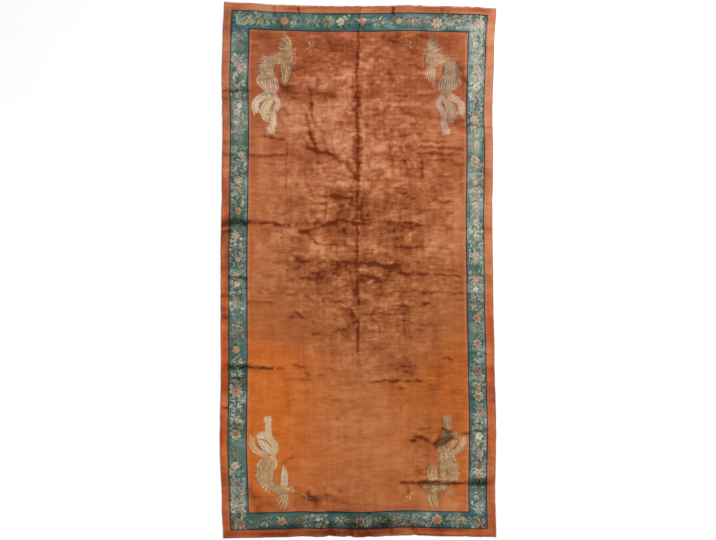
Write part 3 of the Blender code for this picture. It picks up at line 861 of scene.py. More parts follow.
class Inlay:
    """A motif's strokes, gathered before they are made one mesh. Places are loom places in metres."""

    def __init__(self, seed, ground, worn):
        self.rng = np.random.default_rng(seed)
        self.strokes = []
        self.ground = np.array(linear(*ground))
        self.worn = worn

    def stroke(self, stamp, path, half_width, colour, layer=0, ridge=1.0):
        """A stamp drawn along a path. Ridge makes its middle line lighter or darker than its sides."""
        self.strokes.append((stamp, path, half_width, self.dyed(colour), layer, ridge))

    def spot(self, stamp, place, radius, colour, layer=0, ridge=1.0):
        """A round stamp at a place."""
        self.stroke(stamp, (place,), radius, colour, layer, ridge)

    def dyed(self, colour):
        """A dye's linear colour, a little lighter or darker each time, as hand-dyed wool is."""
        base = np.array(linear(*DYES[colour]))
        return base * (1 + self.rng.normal(0, 0.09)) * (1 + self.rng.normal(0, 0.025, 3))

    def build(self, name, keep_in=None):
        """Makes the gathered strokes one mesh that lies on the carpet's pile. With keep_in, its points
        stay between two distances from the carpet's true edge."""
        points, faces, colours, smoothed = [], [], [], []
        offset = 0
        for stamp, path, half_width, colour, layer, ridge in self.strokes:
            shape, sides, on_top = STAMPS[stamp]
            along, across, rise = shape.T
            if len(path) == 1:
                flat = np.array(path[0]) + half_width * shape[:, :2]
            else:
                flat, ahead = follow(path, along)
                flat = flat + half_width * across[:, None] * np.stack((-ahead[:, 1], ahead[:, 0]), axis=1)
            crown = CROWN * min(1.0, half_width / NARROW)
            height = rise * crown + np.where(rise > 0, 1.0, 0.8) * layer * LAYER_RISE
            points.append(np.column_stack((flat, height)))
            faces += [tuple(index + offset for index in side) for side in sides]
            smoothed += on_top
            tone = np.where(rise > 0, ridge, 1.0)[:, None]
            fade = LOW_RIM_FADE if layer < HIGH_LAYER else HIGH_RIM_FADE
            share = self.worn * (0.5 + sample(WEAR, flat[:, 0], flat[:, 1])) + fade * (rise <= 0)
            share = np.clip(share, 0, 0.9)[:, None]
            dyed = colour[None, :] * tone * (1 - share) + self.ground * share
            colours.append(np.column_stack((dyed, np.ones(len(dyed)))))
            offset += len(shape)
        points = np.concatenate(points)
        if keep_in:
            hold_inside(points, *keep_in)
        mesh = bpy.data.meshes.new(name)
        piece = bpy.data.objects.new(name, mesh)
        bpy.context.scene.collection.objects.link(piece)
        x, y = loom_to_floor(points[:, 0], points[:, 1])
        base = CARPET_THICKNESS + sample(SURFACE["height"], points[:, 0], points[:, 1])
        places = np.stack((x + MIDDLE[0], y + MIDDLE[1], base + points[:, 2]), axis=1)
        mesh.from_pydata(places, [], faces)
        attribute(mesh, "dye", "FLOAT_COLOR", np.concatenate(colours))
        # The ground's painted light and shade and its ruffles, carried over the motif.
        for field in ("lean_shading", "ruffled"):
            attribute(mesh, field, "FLOAT", sample(SURFACE[field], points[:, 0], points[:, 1]))
        mesh.polygons.foreach_set("use_smooth", smoothed)
        mesh.update()
        return piece


def hold_inside(points, nearest, furthest):
    """Draws points back between two distances from the carpet's true edge, along its nearest side."""
    by_side = HALF_WIDTH - np.abs(points[:, 0]) < HALF_LENGTH - np.abs(points[:, 1])
    for axis, half, is_nearest in ((0, HALF_WIDTH, by_side), (1, HALF_LENGTH, ~by_side)):
        inside = np.maximum(half - np.abs(points[:, axis]), nearest)
        inside = np.where(is_nearest, np.minimum(inside, furthest), inside)
        points[:, axis] = np.sign(points[:, axis]) * (half - inside)


# The flower border. Each side has its own run, from its middle: along it, and inwards across it.
BORDER_CENTRE = TEAL_STARTS + FLOWER_BAND / 2
RUNS = {
    "left": ((-HALF_WIDTH + BORDER_CENTRE, 0), (0, 1), (1, 0)),
    "right": ((HALF_WIDTH - BORDER_CENTRE, 0), (0, 1), (-1, 0)),
    "far": ((0, HALF_LENGTH - BORDER_CENTRE), (1, 0), (0, -1)),
    "near": ((0, -HALF_LENGTH + BORDER_CENTRE), (1, 0), (0, 1)),
}

# (centimetres along, centimetres inwards, kind, colour, heart's colour, width in centimetres)
FLOWERS = {
    "left": (
        (277, 1, "lily", "cream", "aqua", 12), (236, 0, "bud", "lilac", "pink", 6),
        (222, 1, "peony", "pink", "peach", 6), (204, -1, "plum", "pink", "lilac", 5),
        (183, 1, "plum", "ivory", "tan", 5), (176, -2, "peony", "cream", "pink", 7),
        (160, 1, "bud", "peach", "rose", 5), (146, 1, "aster", "peach", "tan", 6),
        (129, 3, "plum", "cream", "peach", 6), (100, 0, "peony", "tan", "cream", 9),
        (66, 0, "peony", "peach", "orange", 7), (39, -2, "peony", "peach", "cream", 8),
        (12, 1, "plum", "pink", "sage", 5), (-6, -1, "peony", "peach", "cream", 7),
        (-15, 0, "plum", "cream", "peach", 6), (-33, -1, "aster", "tan", "straw", 8),
        (-62, 1, "bud", "sage", "pink", 5), (-88, -1, "plum", "peach", "ivory", 7),
        (-100, -3, "bud", "cream", "tan", 5), (-101, 4, "bud", "cream", "tan", 5),
        (-116, -4, "bud", "ivory", "sage", 5), (-116, 4, "bud", "ivory", "sage", 5),
        (-134, -1, "peony", "peach", "pink", 12), (-150, 3, "plum", "ivory", "rose", 5),
        (-167, 1, "plum", "straw", "leaf", 5), (-182, -1, "peony", "cream", "orange", 10),
        (-205, 0, "aster", "tan", "rose", 7), (-217, -2, "peony", "cream", "peach", 8),
        (-238, -2, "aster", "orange", "tan", 6), (-262, 3, "peony", "tan", "peach", 8),
        (-280, 1, "peony", "peach", "tan", 11),
    ),
    "right": (
        (277, 0, "peony", "peach", "cream", 11), (254, 2, "plum", "cream", "peach", 6),
        (227, 0, "peony", "cream", "tan", 8), (207, 0, "plum", "cream", "olive", 7),
        (192, 1, "bud", "lilac", "pink", 5), (170, 2, "peony", "peach", "tan", 9),
        (144, 1, "bud", "pink", "lilac", 5), (126, 2, "peony", "cream", "peach", 8),
        (119, -3, "aster", "peach", "tan", 8), (100, 1, "bud", "peach", "cream", 6),
        (75, 1, "plum", "peach", "navy", 6), (55, 0, "bud", "cream", "tan", 7),
        (43, 3, "bud", "cream", "olive", 8), (43, -3, "bud", "cream", "olive", 8),
        (18, 1, "peony", "cream", "straw", 8), (-8, 0, "lily", "peach", "pink", 8),
        (-20, 1, "plum", "ivory", "lilac", 5), (-52, 0, "peony", "peach", "orange", 8),
        (-65, 3, "bud", "straw", "olive", 4), (-65, -3, "bud", "straw", "olive", 4),
        (-80, 0, "peony", "pink", "orange", 8), (-92, -1, "bud", "aqua", "cream", 5),
        (-112, 0, "aster", "orange", "rose", 9), (-131, 0, "bud", "peach", "pink", 6),
        (-140, 0, "peony", "cream", "rose", 9), (-156, -1, "peony", "pink", "rose", 8),
        (-184, 0, "plum", "cream", "peach", 8), (-205, -1, "peony", "pink", "cream", 8),
        (-216, 2, "bud", "pink", "rose", 5), (-227, 0, "peony", "peach", "cream", 10),
        (-252, 2, "bud", "cream", "aqua", 5), (-280, -1, "lily", "cream", "rose", 10),
    ),
    "far": (
        (-112, 1, "lily", "straw", "olive", 9), (-84, 0, "disc", "peach", "orange", 9),
        (-73, -4, "bud", "cream", "aqua", 4), (-21, 0, "plum", "cream", "tan", 8),
        (3, 0, "peony", "rose", "orange", 8), (44, 0, "plum", "peach", "cream", 6),
        (62, 0, "bud", "pink", "olive", 6), (87, 2, "peony", "peach", "pink", 10),
        (103, 2, "lily", "cream", "pink", 7), (108, -2, "bud", "pink", "rose", 5),
    ),
    "near": (
        (-120, 0, "bud", "lilac", "sage", 5), (-105, -3, "bud", "cream", "sage", 7),
        (-86, 0, "peony", "peach", "tan", 9), (-64, 1, "aster", "tan", "umber", 9),
        (-46, 2, "plum", "ivory", "tan", 4), (-36, -2, "plum", "ivory", "tan", 4),
        (1, 0, "peony", "orange", "navy", 9), (23, 1, "lily", "cream", "olive", 9),
        (43, 0, "peony", "tan", "sage", 7), (62, 0, "aster", "pink", "lilac", 7),
        (87, 1, "peony", "orange", "rose", 10), (114, 1, "lily", "straw", "cream", 10),
    ),
}

# What fills the border between its flowers.
# (from, to, in centimetres along, kind, main colour, second colour)
FILLINGS = {
    "left": (
        (290, 266, "fan", "cream", "aqua"), (266, 240, "grass", "lilac", "olive"),
        (240, 212, "blossoms", "pink", "olive"), (212, 190, "blossoms", "lilac", "cream"),
        (190, 168, "spray", "ivory", "lilac"), (168, 136, "grass", "lilac", "aqua"),
        (136, 104, "blossoms", "cream", "leaf"), (97, 72, "blossoms", "lilac", "ivory"),
        (70, 42, "spray", "lilac", "sage"), (36, 8, "blossoms", "ivory", "pink"),
        (8, -28, "blossoms", "aqua", "lilac"), (-36, -50, "blossoms", "ivory", "sage"),
        (-50, -74, "fan", "sage", "pink"), (-66, -86, "grass", "sage", "straw"),
        (-92, -104, "spray", "cream", "leaf"),
        (-110, -128, "curls", "ivory", "leaf"), (-140, -176, "blossoms", "ivory", "leaf"),
        (-186, -212, "spray", "aqua", "leaf"), (-220, -256, "blossoms", "pink", "leaf"),
        (-240, -274, "blossoms", "lilac", "ivory"), (-272, -290, "curls", "leaf", "pink"),
    ),
    "right": (
        (290, 262, "curls", "aqua", "ivory"), (266, 240, "blossoms", "ivory", "lilac"),
        (246, 212, "blossoms", "lilac", "aqua"), (222, 196, "blossoms", "ivory", "sage"),
        (200, 176, "blossoms", "lilac", "pink"), (166, 130, "grass", "leaf", "pink"),
        (126, 104, "blossoms", "aqua", "peach"), (108, 80, "curls", "cream", "peach"),
        (74, 50, "spray", "ivory", "tan"), (50, 34, "grass", "cream", "aqua"),
        (34, 8, "blossoms", "ivory", "aqua"), (2, -30, "blossoms", "lilac", "ivory"),
        (-26, -48, "blossoms", "lilac", "aqua"), (-56, -76, "spray", "straw", "aqua"),
        (-84, -104, "spray", "aqua", "cream"), (-104, -136, "blossoms", "lilac", "leaf"),
        (-144, -170, "curls", "leaf", "cream"), (-162, -182, "curls", "cream", "leaf"),
        (-188, -204, "blossoms", "pink", "leaf"), (-208, -228, "blossoms", "ivory", "leaf"),
        (-236, -250, "fan", "cream", "leaf"), (-246, -262, "curls", "cream", "aqua"),
        (-256, -272, "fan", "ivory", "aqua"), (-272, -290, "curls", "aqua", "rose"),
    ),
    "far": (
        (-128, -94, "curls", "straw", "aqua"), (-76, -66, "curls", "cream", "aqua"),
        (-66, -38, "fan", "sage", "olive"), (-44, -26, "fan", "straw", "olive"),
        (-18, -2, "curls", "aqua", "leaf"),
        (8, 34, "fan", "cream", "sage"), (34, 58, "spray", "straw", "olive"),
        (54, 78, "spray", "tan", "pink"), (94, 126, "blossoms", "lilac", "sage"),
    ),
    "near": (
        (-128, -92, "spray", "lilac", "leaf"), (-80, -56, "spray", "sage", "umber"),
        (-60, -36, "blossoms", "ivory", "aqua"), (-32, -8, "fan", "grey", "pink"),
        (6, 22, "curls", "sage", "aqua"), (30, 60, "curls", "grey", "sage"),
        (44, 80, "blossoms", "lilac", "grey"), (90, 106, "spray", "leaf", "navy"),
        (98, 128, "curls", "cream", "aqua"),
    ),
}


TEAL_WORN = 0.34
BORDER_MARGIN = 0.006
BLOSSOMS_PER_CM = 3.9
VINE_REACH = {"left": 284, "right": 284, "far": 122, "near": 122}
VINE_PITCH = 22.0
VINE_STEP = 3.0

# Dark caps that sit on a few of the flowers. (centimetres along, centimetres inwards)
DARK_CAPS = {
    "left": (
        (-28, -1), (-83, -1), (-144, -5), (-150, 5), (-176, -3), (-120, 0), (-212, -2), (66, -3), (-8, 4),
    ),
    "right": ((79, 1), (-171, 0), (-96, -3), (-102, 5)),
    "far": (),
    "near": ((-58, 2), (6, -1)),
}


class Side:
    """One side of the border: its inlay, and its places along it and inwards across it."""

    def __init__(self, name, seed):
        self.origin, self.along, self.inward = RUNS[name]
        self.inlay = Inlay(seed, TEAL_GROUND, TEAL_WORN)
        self.rng = self.inlay.rng

    def at(self, along, inward):
        """The loom place at so many centimetres along and inwards."""
        along *= CENTIMETRE
        inward *= CENTIMETRE
        return (
            self.origin[0] + self.along[0] * along + self.inward[0] * inward,
            self.origin[1] + self.along[1] * along + self.inward[1] * inward,
        )

    def leaf(self, root, tip, bow, half_width, colour, layer=0, ridge=1.0):
        """A leaf between two loom places, its half width in centimetres."""
        self.inlay.stroke("leaf", bowed(root, tip, bow), half_width * CENTIMETRE, colour, layer, ridge)

    def stem(self, start, end, half_width):
        """A short length of stem between two loom places, its half width in centimetres."""
        self.inlay.stroke("stem", (start, end), half_width * CENTIMETRE, "olive")


def around(centre, angle, radius):
    """The place at an angle and a distance from a centre."""
    return centre[0] + radius * math.cos(angle), centre[1] + radius * math.sin(angle)


def flower(inlay, centre, kind, colour, heart, width):
    """One border flower, knotted in a few colours on a dark ragged disc that outlines it."""
    radius = width * 0.62 * CENTIMETRE
    turn = inlay.rng.uniform(0, math.tau)
    back = turn + math.pi

    def ring(count, inner, outer, dye, layer, turned, plump):
        """Petals side by side around the heart, none quite like the next."""
        for index in range(count):
            angle = turn + turned + index / count * math.tau + inlay.rng.normal(0, 0.08)
            reach = radius * outer * (1 + inlay.rng.normal(0, 0.08))
            path = bowed(around(centre, angle, radius * inner), around(centre, angle, reach),
                         inlay.rng.normal(0, 0.04))
            inlay.stroke("petal", path, plump * math.pi * radius * outer / count * 1.25, dye, layer, 0.86)

    ring(9, 0.0, 1.36, "navy", 0, 0, 0.66)
    leaves_around(inlay, centre, radius)
    if kind == "peony":
        inlay.spot("boss", centre, radius * 0.80, colour, 1)
        ring(7, 0.30, 1.04, "cream", 2, 0, 0.80)
        ring(6, 0.22, 0.86, colour, 4, 0.2, 0.80)
        ring(5, 0.06, 0.58, heart, 6, 0.4, 0.78)
        inlay.spot("boss", centre, radius * 0.20, "rose", 8)
    elif kind == "disc":
        ring(12, 0.5, 1.05, "skin", 1, 0, 0.7)
        inlay.spot("boss", centre, radius * 0.82, colour, 3)
        ring(6, 0.05, 0.6, heart, 4, 0, 0.8)
    elif kind == "plum":
        for index in range(5):
            angle = turn + index / 5 * math.tau
            inlay.spot("boss", around(centre, angle, radius * 0.56), radius * 0.50, colour, 1, 1.04)
        inlay.spot("boss", centre, radius * 0.32, heart, 3)
    elif kind == "aster":
        ring(12, 0.25, 1.10, colour, 1, 0, 0.48)
        ring(8, 0.12, 0.66, heart, 2, 0.2, 0.50)
        inlay.spot("boss", centre, radius * 0.26, "umber", 4)
    elif kind == "lily":
        for index, spread in enumerate((-1.0, -0.5, 0.0, 0.5, 1.0)):
            dye = heart if index % 2 else colour
            path = bowed(around(centre, back, radius * 0.6), around(centre, turn + spread, radius * 1.1),
                         spread * 0.2)
            inlay.stroke("petal", path, radius * 0.32, dye, 1 + index % 2, 0.85)
        inlay.spot("boss", around(centre, back, radius * 0.5), radius * 0.30, heart, 3)
    else:
        for spread, dye, layer in ((-0.6, colour, 1), (0.6, colour, 1), (0.0, heart, 2)):
            path = bowed(around(centre, back, radius * 0.8), around(centre, turn + spread, radius),
                         spread * 0.3)
            inlay.stroke("petal", path, radius * 0.50, dye, layer)


def leaves_around(inlay, centre, radius):
    """A few leaves that peep out from under a flower."""
    count = 5
    turn = inlay.rng.uniform(0, math.tau)
    for index in range(count):
        angle = turn + (index + inlay.rng.uniform(0.1, 0.6)) / count * math.tau
        path = bowed(around(centre, angle, radius * 0.6), around(centre, angle, radius * 1.75),
                     inlay.rng.uniform(-0.2, 0.2))
        dye = inlay.rng.choice(("leaf", "sage", "olive", "aqua"))
        inlay.stroke("leaf", path, radius * 0.30, dye, 0, 0.75)


def blossoms(side, start, end, main, second):
    """Small blossoms and leaflets crowded along both edges of the band and between them."""
    rng = side.rng
    low, high = sorted((start, end))
    colours = (main, second, "ivory", "lilac", "tan", "sage", "lilac", "aqua", "grey", "fawn", "navy")
    for _ in range(int((high - low) * BLOSSOMS_PER_CM)):
        place = side.at(rng.uniform(low, high), rng.choice((-1, 1)) * rng.uniform(0.6, 7.8))
        colour = rng.choice(colours)
        size = rng.uniform(0.75, 1.5) * CENTIMETRE
        turn = rng.uniform(0, math.tau)
        if rng.random() < 0.5:
            for index in range(3):
                petal = around(place, turn + index * 2.1, size * 0.75)
                side.inlay.spot("dot", petal, size * 0.70, colour, 1)
            side.inlay.spot("dot", place, size * 0.40, "tan", 2)
        else:
            path = bowed(place, around(place, turn, size * 2.8), rng.uniform(-0.2, 0.2))
            side.inlay.stroke("leaf", path, size * 0.72, colour, 0, 0.85)


def grass(side, start, end, main, second):
    """Long curved blades that spring from two roots, as orchid leaves do."""
    rng = side.rng
    for root_along in (end, (start + end) / 2):
        root_inward = rng.uniform(-2, 2)
        for index in range(9):
            spread = (index - 4) / 4
            tip_along = root_along + (start - end) * (0.62 - 0.24 * abs(spread))
            side.leaf(side.at(root_along, root_inward), side.at(tip_along, root_inward + spread * 6.6),
                      spread * rng.uniform(0.04, 0.16), rng.uniform(0.7, 1.2),
                      (main, second, "sage")[index % 3], index % 3, 0.8)
    blossoms(side, start, (start + end) / 2, main, second)


def spray(side, start, end, main, second):
    """A bending stem with narrow leaves on both its sides."""
    rng = side.rng
    steps = max(4, int(abs(end - start) / 2.4))
    swing = rng.uniform(2.0, 3.4) * rng.choice((-1, 1))
    ahead = math.copysign(1, end - start)
    before = None
    for index in range(steps + 1):
        share = index / steps
        along = start + (end - start) * share
        inward = swing * math.sin(share * math.tau)
        place = side.at(along, inward)
        if before:
            side.stem(before, place, 0.34)
        before = place
        for hand in (-1, 1):
            reach = rng.uniform(4.0, 6.6)
            tip = side.at(along + ahead * reach * 0.8, inward + hand * reach * 0.9)
            colour = main if (index + (hand > 0)) % 2 else second
            side.leaf(place, tip, hand * rng.uniform(-0.05, 0.15), rng.uniform(0.6, 1.0), colour, 1, 0.82)


def fan(side, start, end, main, second):
    """Curved leaves that spread to all sides from one place."""
    rng = side.rng
    middle = (start + end) / 2
    reach = abs(end - start) / 2
    colours = (main, second, main, "ivory", "sage")
    leaves = 22
    for index in range(leaves):
        angle = index / leaves * math.tau + rng.normal(0, 0.12)
        length = rng.uniform(0.65, 1.0)
        root = side.at(middle + 0.25 * reach * math.cos(angle), 0.8 * math.sin(angle))
        tip = side.at(middle + reach * length * math.cos(angle), 8.4 * length * math.sin(angle))
        side.leaf(root, tip, rng.uniform(-0.22, 0.22), rng.uniform(0.7, 1.15), colours[index % 5],
                  index % 3, 0.8)
    side.inlay.spot("boss", side.at(middle, 0), 1.3 * CENTIMETRE, second, 4)


def curls(side, start, end, main, second):
    """Ribbon scrolls that roll over at their ends, with a few leaves."""
    rng = side.rng
    low, high = sorted((start, end))
    along = low + 2
    hand = 1
    while along < high:
        centre = side.at(along, hand * 3.2)
        colour, other = (main, second) if hand > 0 else (second, main)
        radius = rng.uniform(2.0, 3.0) * CENTIMETRE
        turn = rng.uniform(0, math.tau)
        path = [around(centre, turn + index * 0.9, radius * (1.15 - index * 0.13)) for index in range(7)]
        side.inlay.stroke("feather", path, 0.75 * CENTIMETRE, colour, 1)
        tail = side.at(along + rng.uniform(2.5, 5), -hand * rng.uniform(2, 6))
        side.leaf(around(centre, turn, radius * 1.15), tail, 0.16, 0.75, colour)
        side.inlay.spot("dot", centre, 0.8 * CENTIMETRE, other, 2)
        along += rng.uniform(3.0, 4.6)
        hand = -hand
    blossoms(side, low, low + (high - low) * 0.5, main, second)


def vine(side, reach):
    """The thin stem that wanders the whole side and carries the flowers, with leaves to left and right."""
    steps = int(2 * reach / VINE_STEP)
    before = None
    for index in range(steps + 1):
        along = -reach + 2 * reach * index / steps
        inward = 4.6 * math.sin(along / VINE_PITCH * math.tau) + 1.2 * math.sin(along / 9.0)
        place = side.at(along, inward)
        if before:
            side.stem(before, place, 0.30)
            hand = 1 if index % 2 else -1
            tip = side.at(along + 2.8, inward + hand * 3.6)
            dye = side.rng.choice(("sage", "leaf", "olive", "aqua", "lilac"))
            side.leaf(place, tip, 0.1 * hand, 0.85, dye, 0, 0.8)
        before = place


FILLERS = {"blossoms": blossoms, "grass": grass, "spray": spray, "curls": curls, "fan": fan}


def make_border(name, seed):
    """One side's vine, fillings and flowers, as one inlay."""
    side = Side(name, seed)
    vine(side, VINE_REACH[name])
    for start, end, kind, main, second in FILLINGS[name]:
        FILLERS[kind](side, start, end, main, second)
    for along, inward, kind, colour, heart, width in FLOWERS[name]:
        flower(side.inlay, side.at(along, inward), kind, colour, heart, width)
    for along, inward in DARK_CAPS[name]:
        arch = [side.at(along + bend, inward + across) for bend, across in ((0, -3.0), (1.2, 0), (0, 3.0))]
        side.inlay.stroke("leaf", arch, 1.0 * CENTIMETRE, "navy", 5)
    return side.inlay.build("border_motifs_" + name, (TEAL_STARTS + BORDER_MARGIN, TEAL_ENDS - BORDER_MARGIN))


# The phoenixes. A bird's own places are centimetres from its waist: x towards the carpet's middle line,
# y towards the carpet's end. A shade is a colour's place in the bird's feathers or body, from 0. Higher
# layers cover lower ones.
# tail and its end: (path, half width, the feathers' shade, layer), and where the last plume opens
# gaps: paths of the dark lines between the plumes, and their colour
# covered, the parts that small feathers cover like scales: (path, half width at its start, middle and end,
# feather length, the body's shade, layer)
# fans: (first feather, last feather, count, how much longer the middle is, half width, layer, waviness,
# the feathers' two shades by turns)
# head: how far the head lies from the far birds' place for it
# crest: (path, half width, colour), with the hackles and the streaks beside the body
FAR_FORM = {
    "tail": (
        (((3, -18), (3.6, -28), (1, -43)), 3.2, 0, 0),
        (((2.5, -1), (0.5, -8), (-2.5, -15), (-3, -23)), 2.9, 0, 1),
        (((1.5, -4), (-4.5, -12), (-8.2, -19.5), (-5.5, -26), (-0.5, -28)), 3.3, 0, 2),
        (((3, -0.5), (8, -6), (8.2, -13), (4, -19.5)), 3.3, 1, 3),
        (((1, -0.6), (-8, -3), (-15, -8.6), (-16.6, -15.5), (-14.5, -22)), 3.9, 2, 5),
    ),
    "tail_end": (0.5, -39.5),
    "gaps": (((-4, -5), (-9, -10.5), (-11, -17.5)), ((2.4, -9), (0.2, -14), (-0.6, -20))),
    "gap_colour": "peach",
    "covered": (
        (((-1.5, 37), (-4, 28), (-3.8, 17)), (6, 7.6, 9), 3.4, 1, 4),
        (((24, 44.5), (12, 41), (-1, 37.5)), (3.2, 6.2, 5), 3.2, 0, 2),
        (((22, 54.5), (18, 50), (11, 44)), (2.6, 5, 4), 2.6, 2, 3),
        (((15, 41), (17, 33), (17.6, 25)), (3.5, 5.9, 3.2), 3, 0, 3),
    ),
    "fans": (
        (((-10, 23), (-13.6, 13.5), (-2.6, 1)), ((5, 21), (9, 9.5), (6, -1)),
         9, 0, 1.5, 2, 0, (1, 1)),
        (((24, 53), (21, 61), (12.6, 69)), ((18, 48), (12.5, 50.4), (7.4, 52)),
         8, 0, 0.75, 4, 0, (0, 2)),
        (((22.4, 33), (22.6, 26), (19, 13)), ((12, 33), (14, 24), (13, 12)),
         5, 5, 0.75, 4, 0, (2, 0)),
        (((2.4, 41.5), (-4, 43), (-11, 43)), ((-3, 29), (-9, 27.5), (-14.8, 25)),
         9, 1, 0.55, 5, 1.1, (1, 1)),
    ),
    "head": (0, 0),
    "crest": (
        (((25, 46.6), (23.5, 50), (24.4, 52)), 0.7, "peach"),
        (((26.4, 46.8), (26.8, 50.2), (28.6, 51.4)), 0.7, "peach"),
        (((26, 43.4), (23.6, 40.5), (24.6, 37)), 0.7, "peach"),
        (((27, 43), (28.8, 39.5), (27.2, 35.5)), 0.7, "peach"),
        (((24.2, 42), (21.6, 37), (23, 33)), 0.7, "fawn"),
        (((29, 39), (26.6, 33.5), (28.4, 29.5)), 0.7, "peach"),
        (((22.5, 40), (25, 35), (24, 30)), 0.7, "fawn"),
    ),
}
NEAR_FORM = {
    "tail": (
        (((-0.4, -18), (-1.2, -28), (-2, -44)), 3.5, 1, 0),
        (((2, -3), (3, -9), (1, -15), (-3, -19)), 3, 1, 0),
        (((0, -2), (-4.5, -10), (-8.6, -17), (-7.6, -24)), 4.8, 2, 1),
        (((-13, -20), (-8.6, -25), (-2, -23.6), (2, -17)), 2.3, 1, 2),
        (((1.5, -0.5), (6.4, -6), (7, -12), (3, -19)), 2.5, 1, 3),
        (((-2, -0.8), (-11.5, -4.6), (-17.4, -10), (-19, -16), (-18, -22)), 3.4, 4, 5),
    ),
    "tail_end": (-2.2, -40.5),
    "gaps": (((-4, -4.4), (-10.5, -9.6), (-14.4, -18)), ((-13, -19), (-5, -18.4), (2.5, -11.5))),
    "gap_colour": "umber",
    "covered": (
        (((-3, 34), (-6.2, 21), (-2.4, 4)), (6.5, 9.8, 6.6), 3.4, 1, 4),
        (((20, 38.5), (8.5, 36.5), (-4, 28)), (3, 4.2, 5), 3.2, 0, 2),
        (((15.4, 41), (14.8, 45), (14.4, 48.6)), (4.2, 4.4, 3), 2.6, 2, 3),
        (((12.8, 36), (15, 30), (15.4, 24)), (2.2, 4, 2.8), 2.8, 2, 3),
    ),
    "fans": (
        (((-12, 17), (-13.4, 9), (-5, -1)), ((3, 17), (7, 8), (3.6, -2)),
         7, 0, 1.9, 2, 0, (1, 1)),
        (((18.2, 42), (18.8, 50), (15.8, 59)), ((11, 41), (9, 42.6), (5.4, 45)),
         9, 3, 0.58, 5, 0, (0, 2)),
        (((17.6, 33), (18.8, 24), (16.4, 12.6)), ((11.4, 33), (12, 24), (14, 10.6)),
         5, 2, 0.85, 6, 0, (2, 2)),
        (((-0.6, 35), (-2.6, 38), (-3, 41)), ((-5, 31), (-8, 33), (-10.5, 34)),
         4, 1, 0.55, 5, 1, (2, 2)),
        (((4, 17), (2, 23), (3, 29)), ((-7, 20), (-5, 25), (-2, 29)),
         6, 0, 0.5, 7, 0, (3, 3)),
    ),
    "head": (-3.6, -8.9),
    "crest": (
        (((21.8, 31), (23.6, 36), (23, 41)), 1.3, "peach"),
        (((24.4, 33), (25.8, 37), (25, 41)), 1.1, "peach"),
        (((20.2, 25), (21, 28.4), (20.4, 32)), 0.8, "rose"),
        (((9.6, 28), (10.6, 31), (12, 33.6)), 0.6, "peach"),
    ),
}
# The near right bird lies lower and fuller, with its wing spread and a red streak beside it.
SPREAD_FORM = {
    **NEAR_FORM,
    "covered": (
        (((-4, 29), (-4.8, 16), (-2, 3)), (9.6, 10.8, 7.4), 3.8, 1, 4),
        (((26, 35), (12, 35.4), (-3, 32)), (2.6, 5.2, 4), 3.2, 0, 2),
        (((15, 38), (13.6, 42), (12.4, 46)), (4.6, 4.4, 3), 2.6, 0, 3),
        (((13.4, 28), (13.8, 23), (14, 17)), (4.6, 4.2, 2.4), 2.8, 1, 3),
    ),
    "fans": (
        (((-12, 17), (-12.4, 8), (-4, -2)), ((3, 17), (6.4, 4), (5, -8)),
         7, 0, 1.9, 2, 0, (1, 0)),
        (((-12, 8), (-14, 17), (-11.4, 28.4)), ((5.6, 6), (6, 16), (4.6, 28)),
         7, 0, 1.2, 6, 0.5, (1, 2)),
        (((17.4, 28.6), (18.8, 18), (14.2, 6.8)), ((8.4, 28.4), (8.6, 20), (10.4, 12)),
         6, 1, 0.72, 5, 0, (0, 2)),
        (((18.8, 43), (17.4, 51), (13, 58.6)), ((8.6, 42), (8, 48), (7, 53)),
         6, 2, 0.6, 5, 0, (0, 2)),
        (((-1, 37), (-2.2, 41), (-2.6, 45.6)), ((-5.6, 36), (-8.4, 39.6), (-10.4, 43)),
         4, 1, 0.6, 5, 1, (2, 2)),
    ),
    "crest": (
        (((10.8, -6), (9, 1), (7, 9)), 1.9, "coral"),
        (((13, 9), (12, 14), (12.2, 22)), 0.8, "coral"),
        (((19, 41), (19.2, 46), (17.4, 50)), 1.2, "ash"),
    ),
}

# (x, y of the waist in centimetres, mirrored, turned over, feathers, body, form)
PHOENIXES = {
    "phoenix_far_left": (
        -98.2, 197, 1, 1, ("straw", "fawn", "cream", "grey"), ("khaki", "ash", "tan"), FAR_FORM,
    ),
    "phoenix_far_right": (
        100.4, 197, -1, 1, ("ash", "ash", "fawn", "grey"), ("tan", "ash", "khaki"), FAR_FORM,
    ),
    "phoenix_near_left": (
        -97.2, -207, 1, -1, ("tan", "straw", "cream", "khaki", "gold"), ("khaki", "tan", "straw"),
        NEAR_FORM,
    ),
    "phoenix_near_right": (
        96.6, -206.8, -1, -1, ("straw", "khaki", "tan", "umber", "straw"), ("khaki", "khaki", "tan"),
        SPREAD_FORM,
    ),
}
RUST_WORN = 0.20
UNEVENNESS = 0.0025
TAIL_END_PETALS = 11
TAIL_END_RADIUS = 5.2

# The flowering twig before each beak. (path, colour)
TWIG = (
    (((37, 49), (43, 53), (50, 60.5)), "straw"),
    (((43, 54), (42.4, 56.6), (44, 59.6)), "cream"),
    (((44.5, 55), (47, 54), (49.4, 55)), "cream"),
    (((47, 57.6), (46.4, 59.6), (48, 62)), "fawn"),
)


def path_length(path):
    """The length of a path from point to point."""
    return float(np.sum(np.hypot(*np.diff(np.array(path), axis=0).T)))


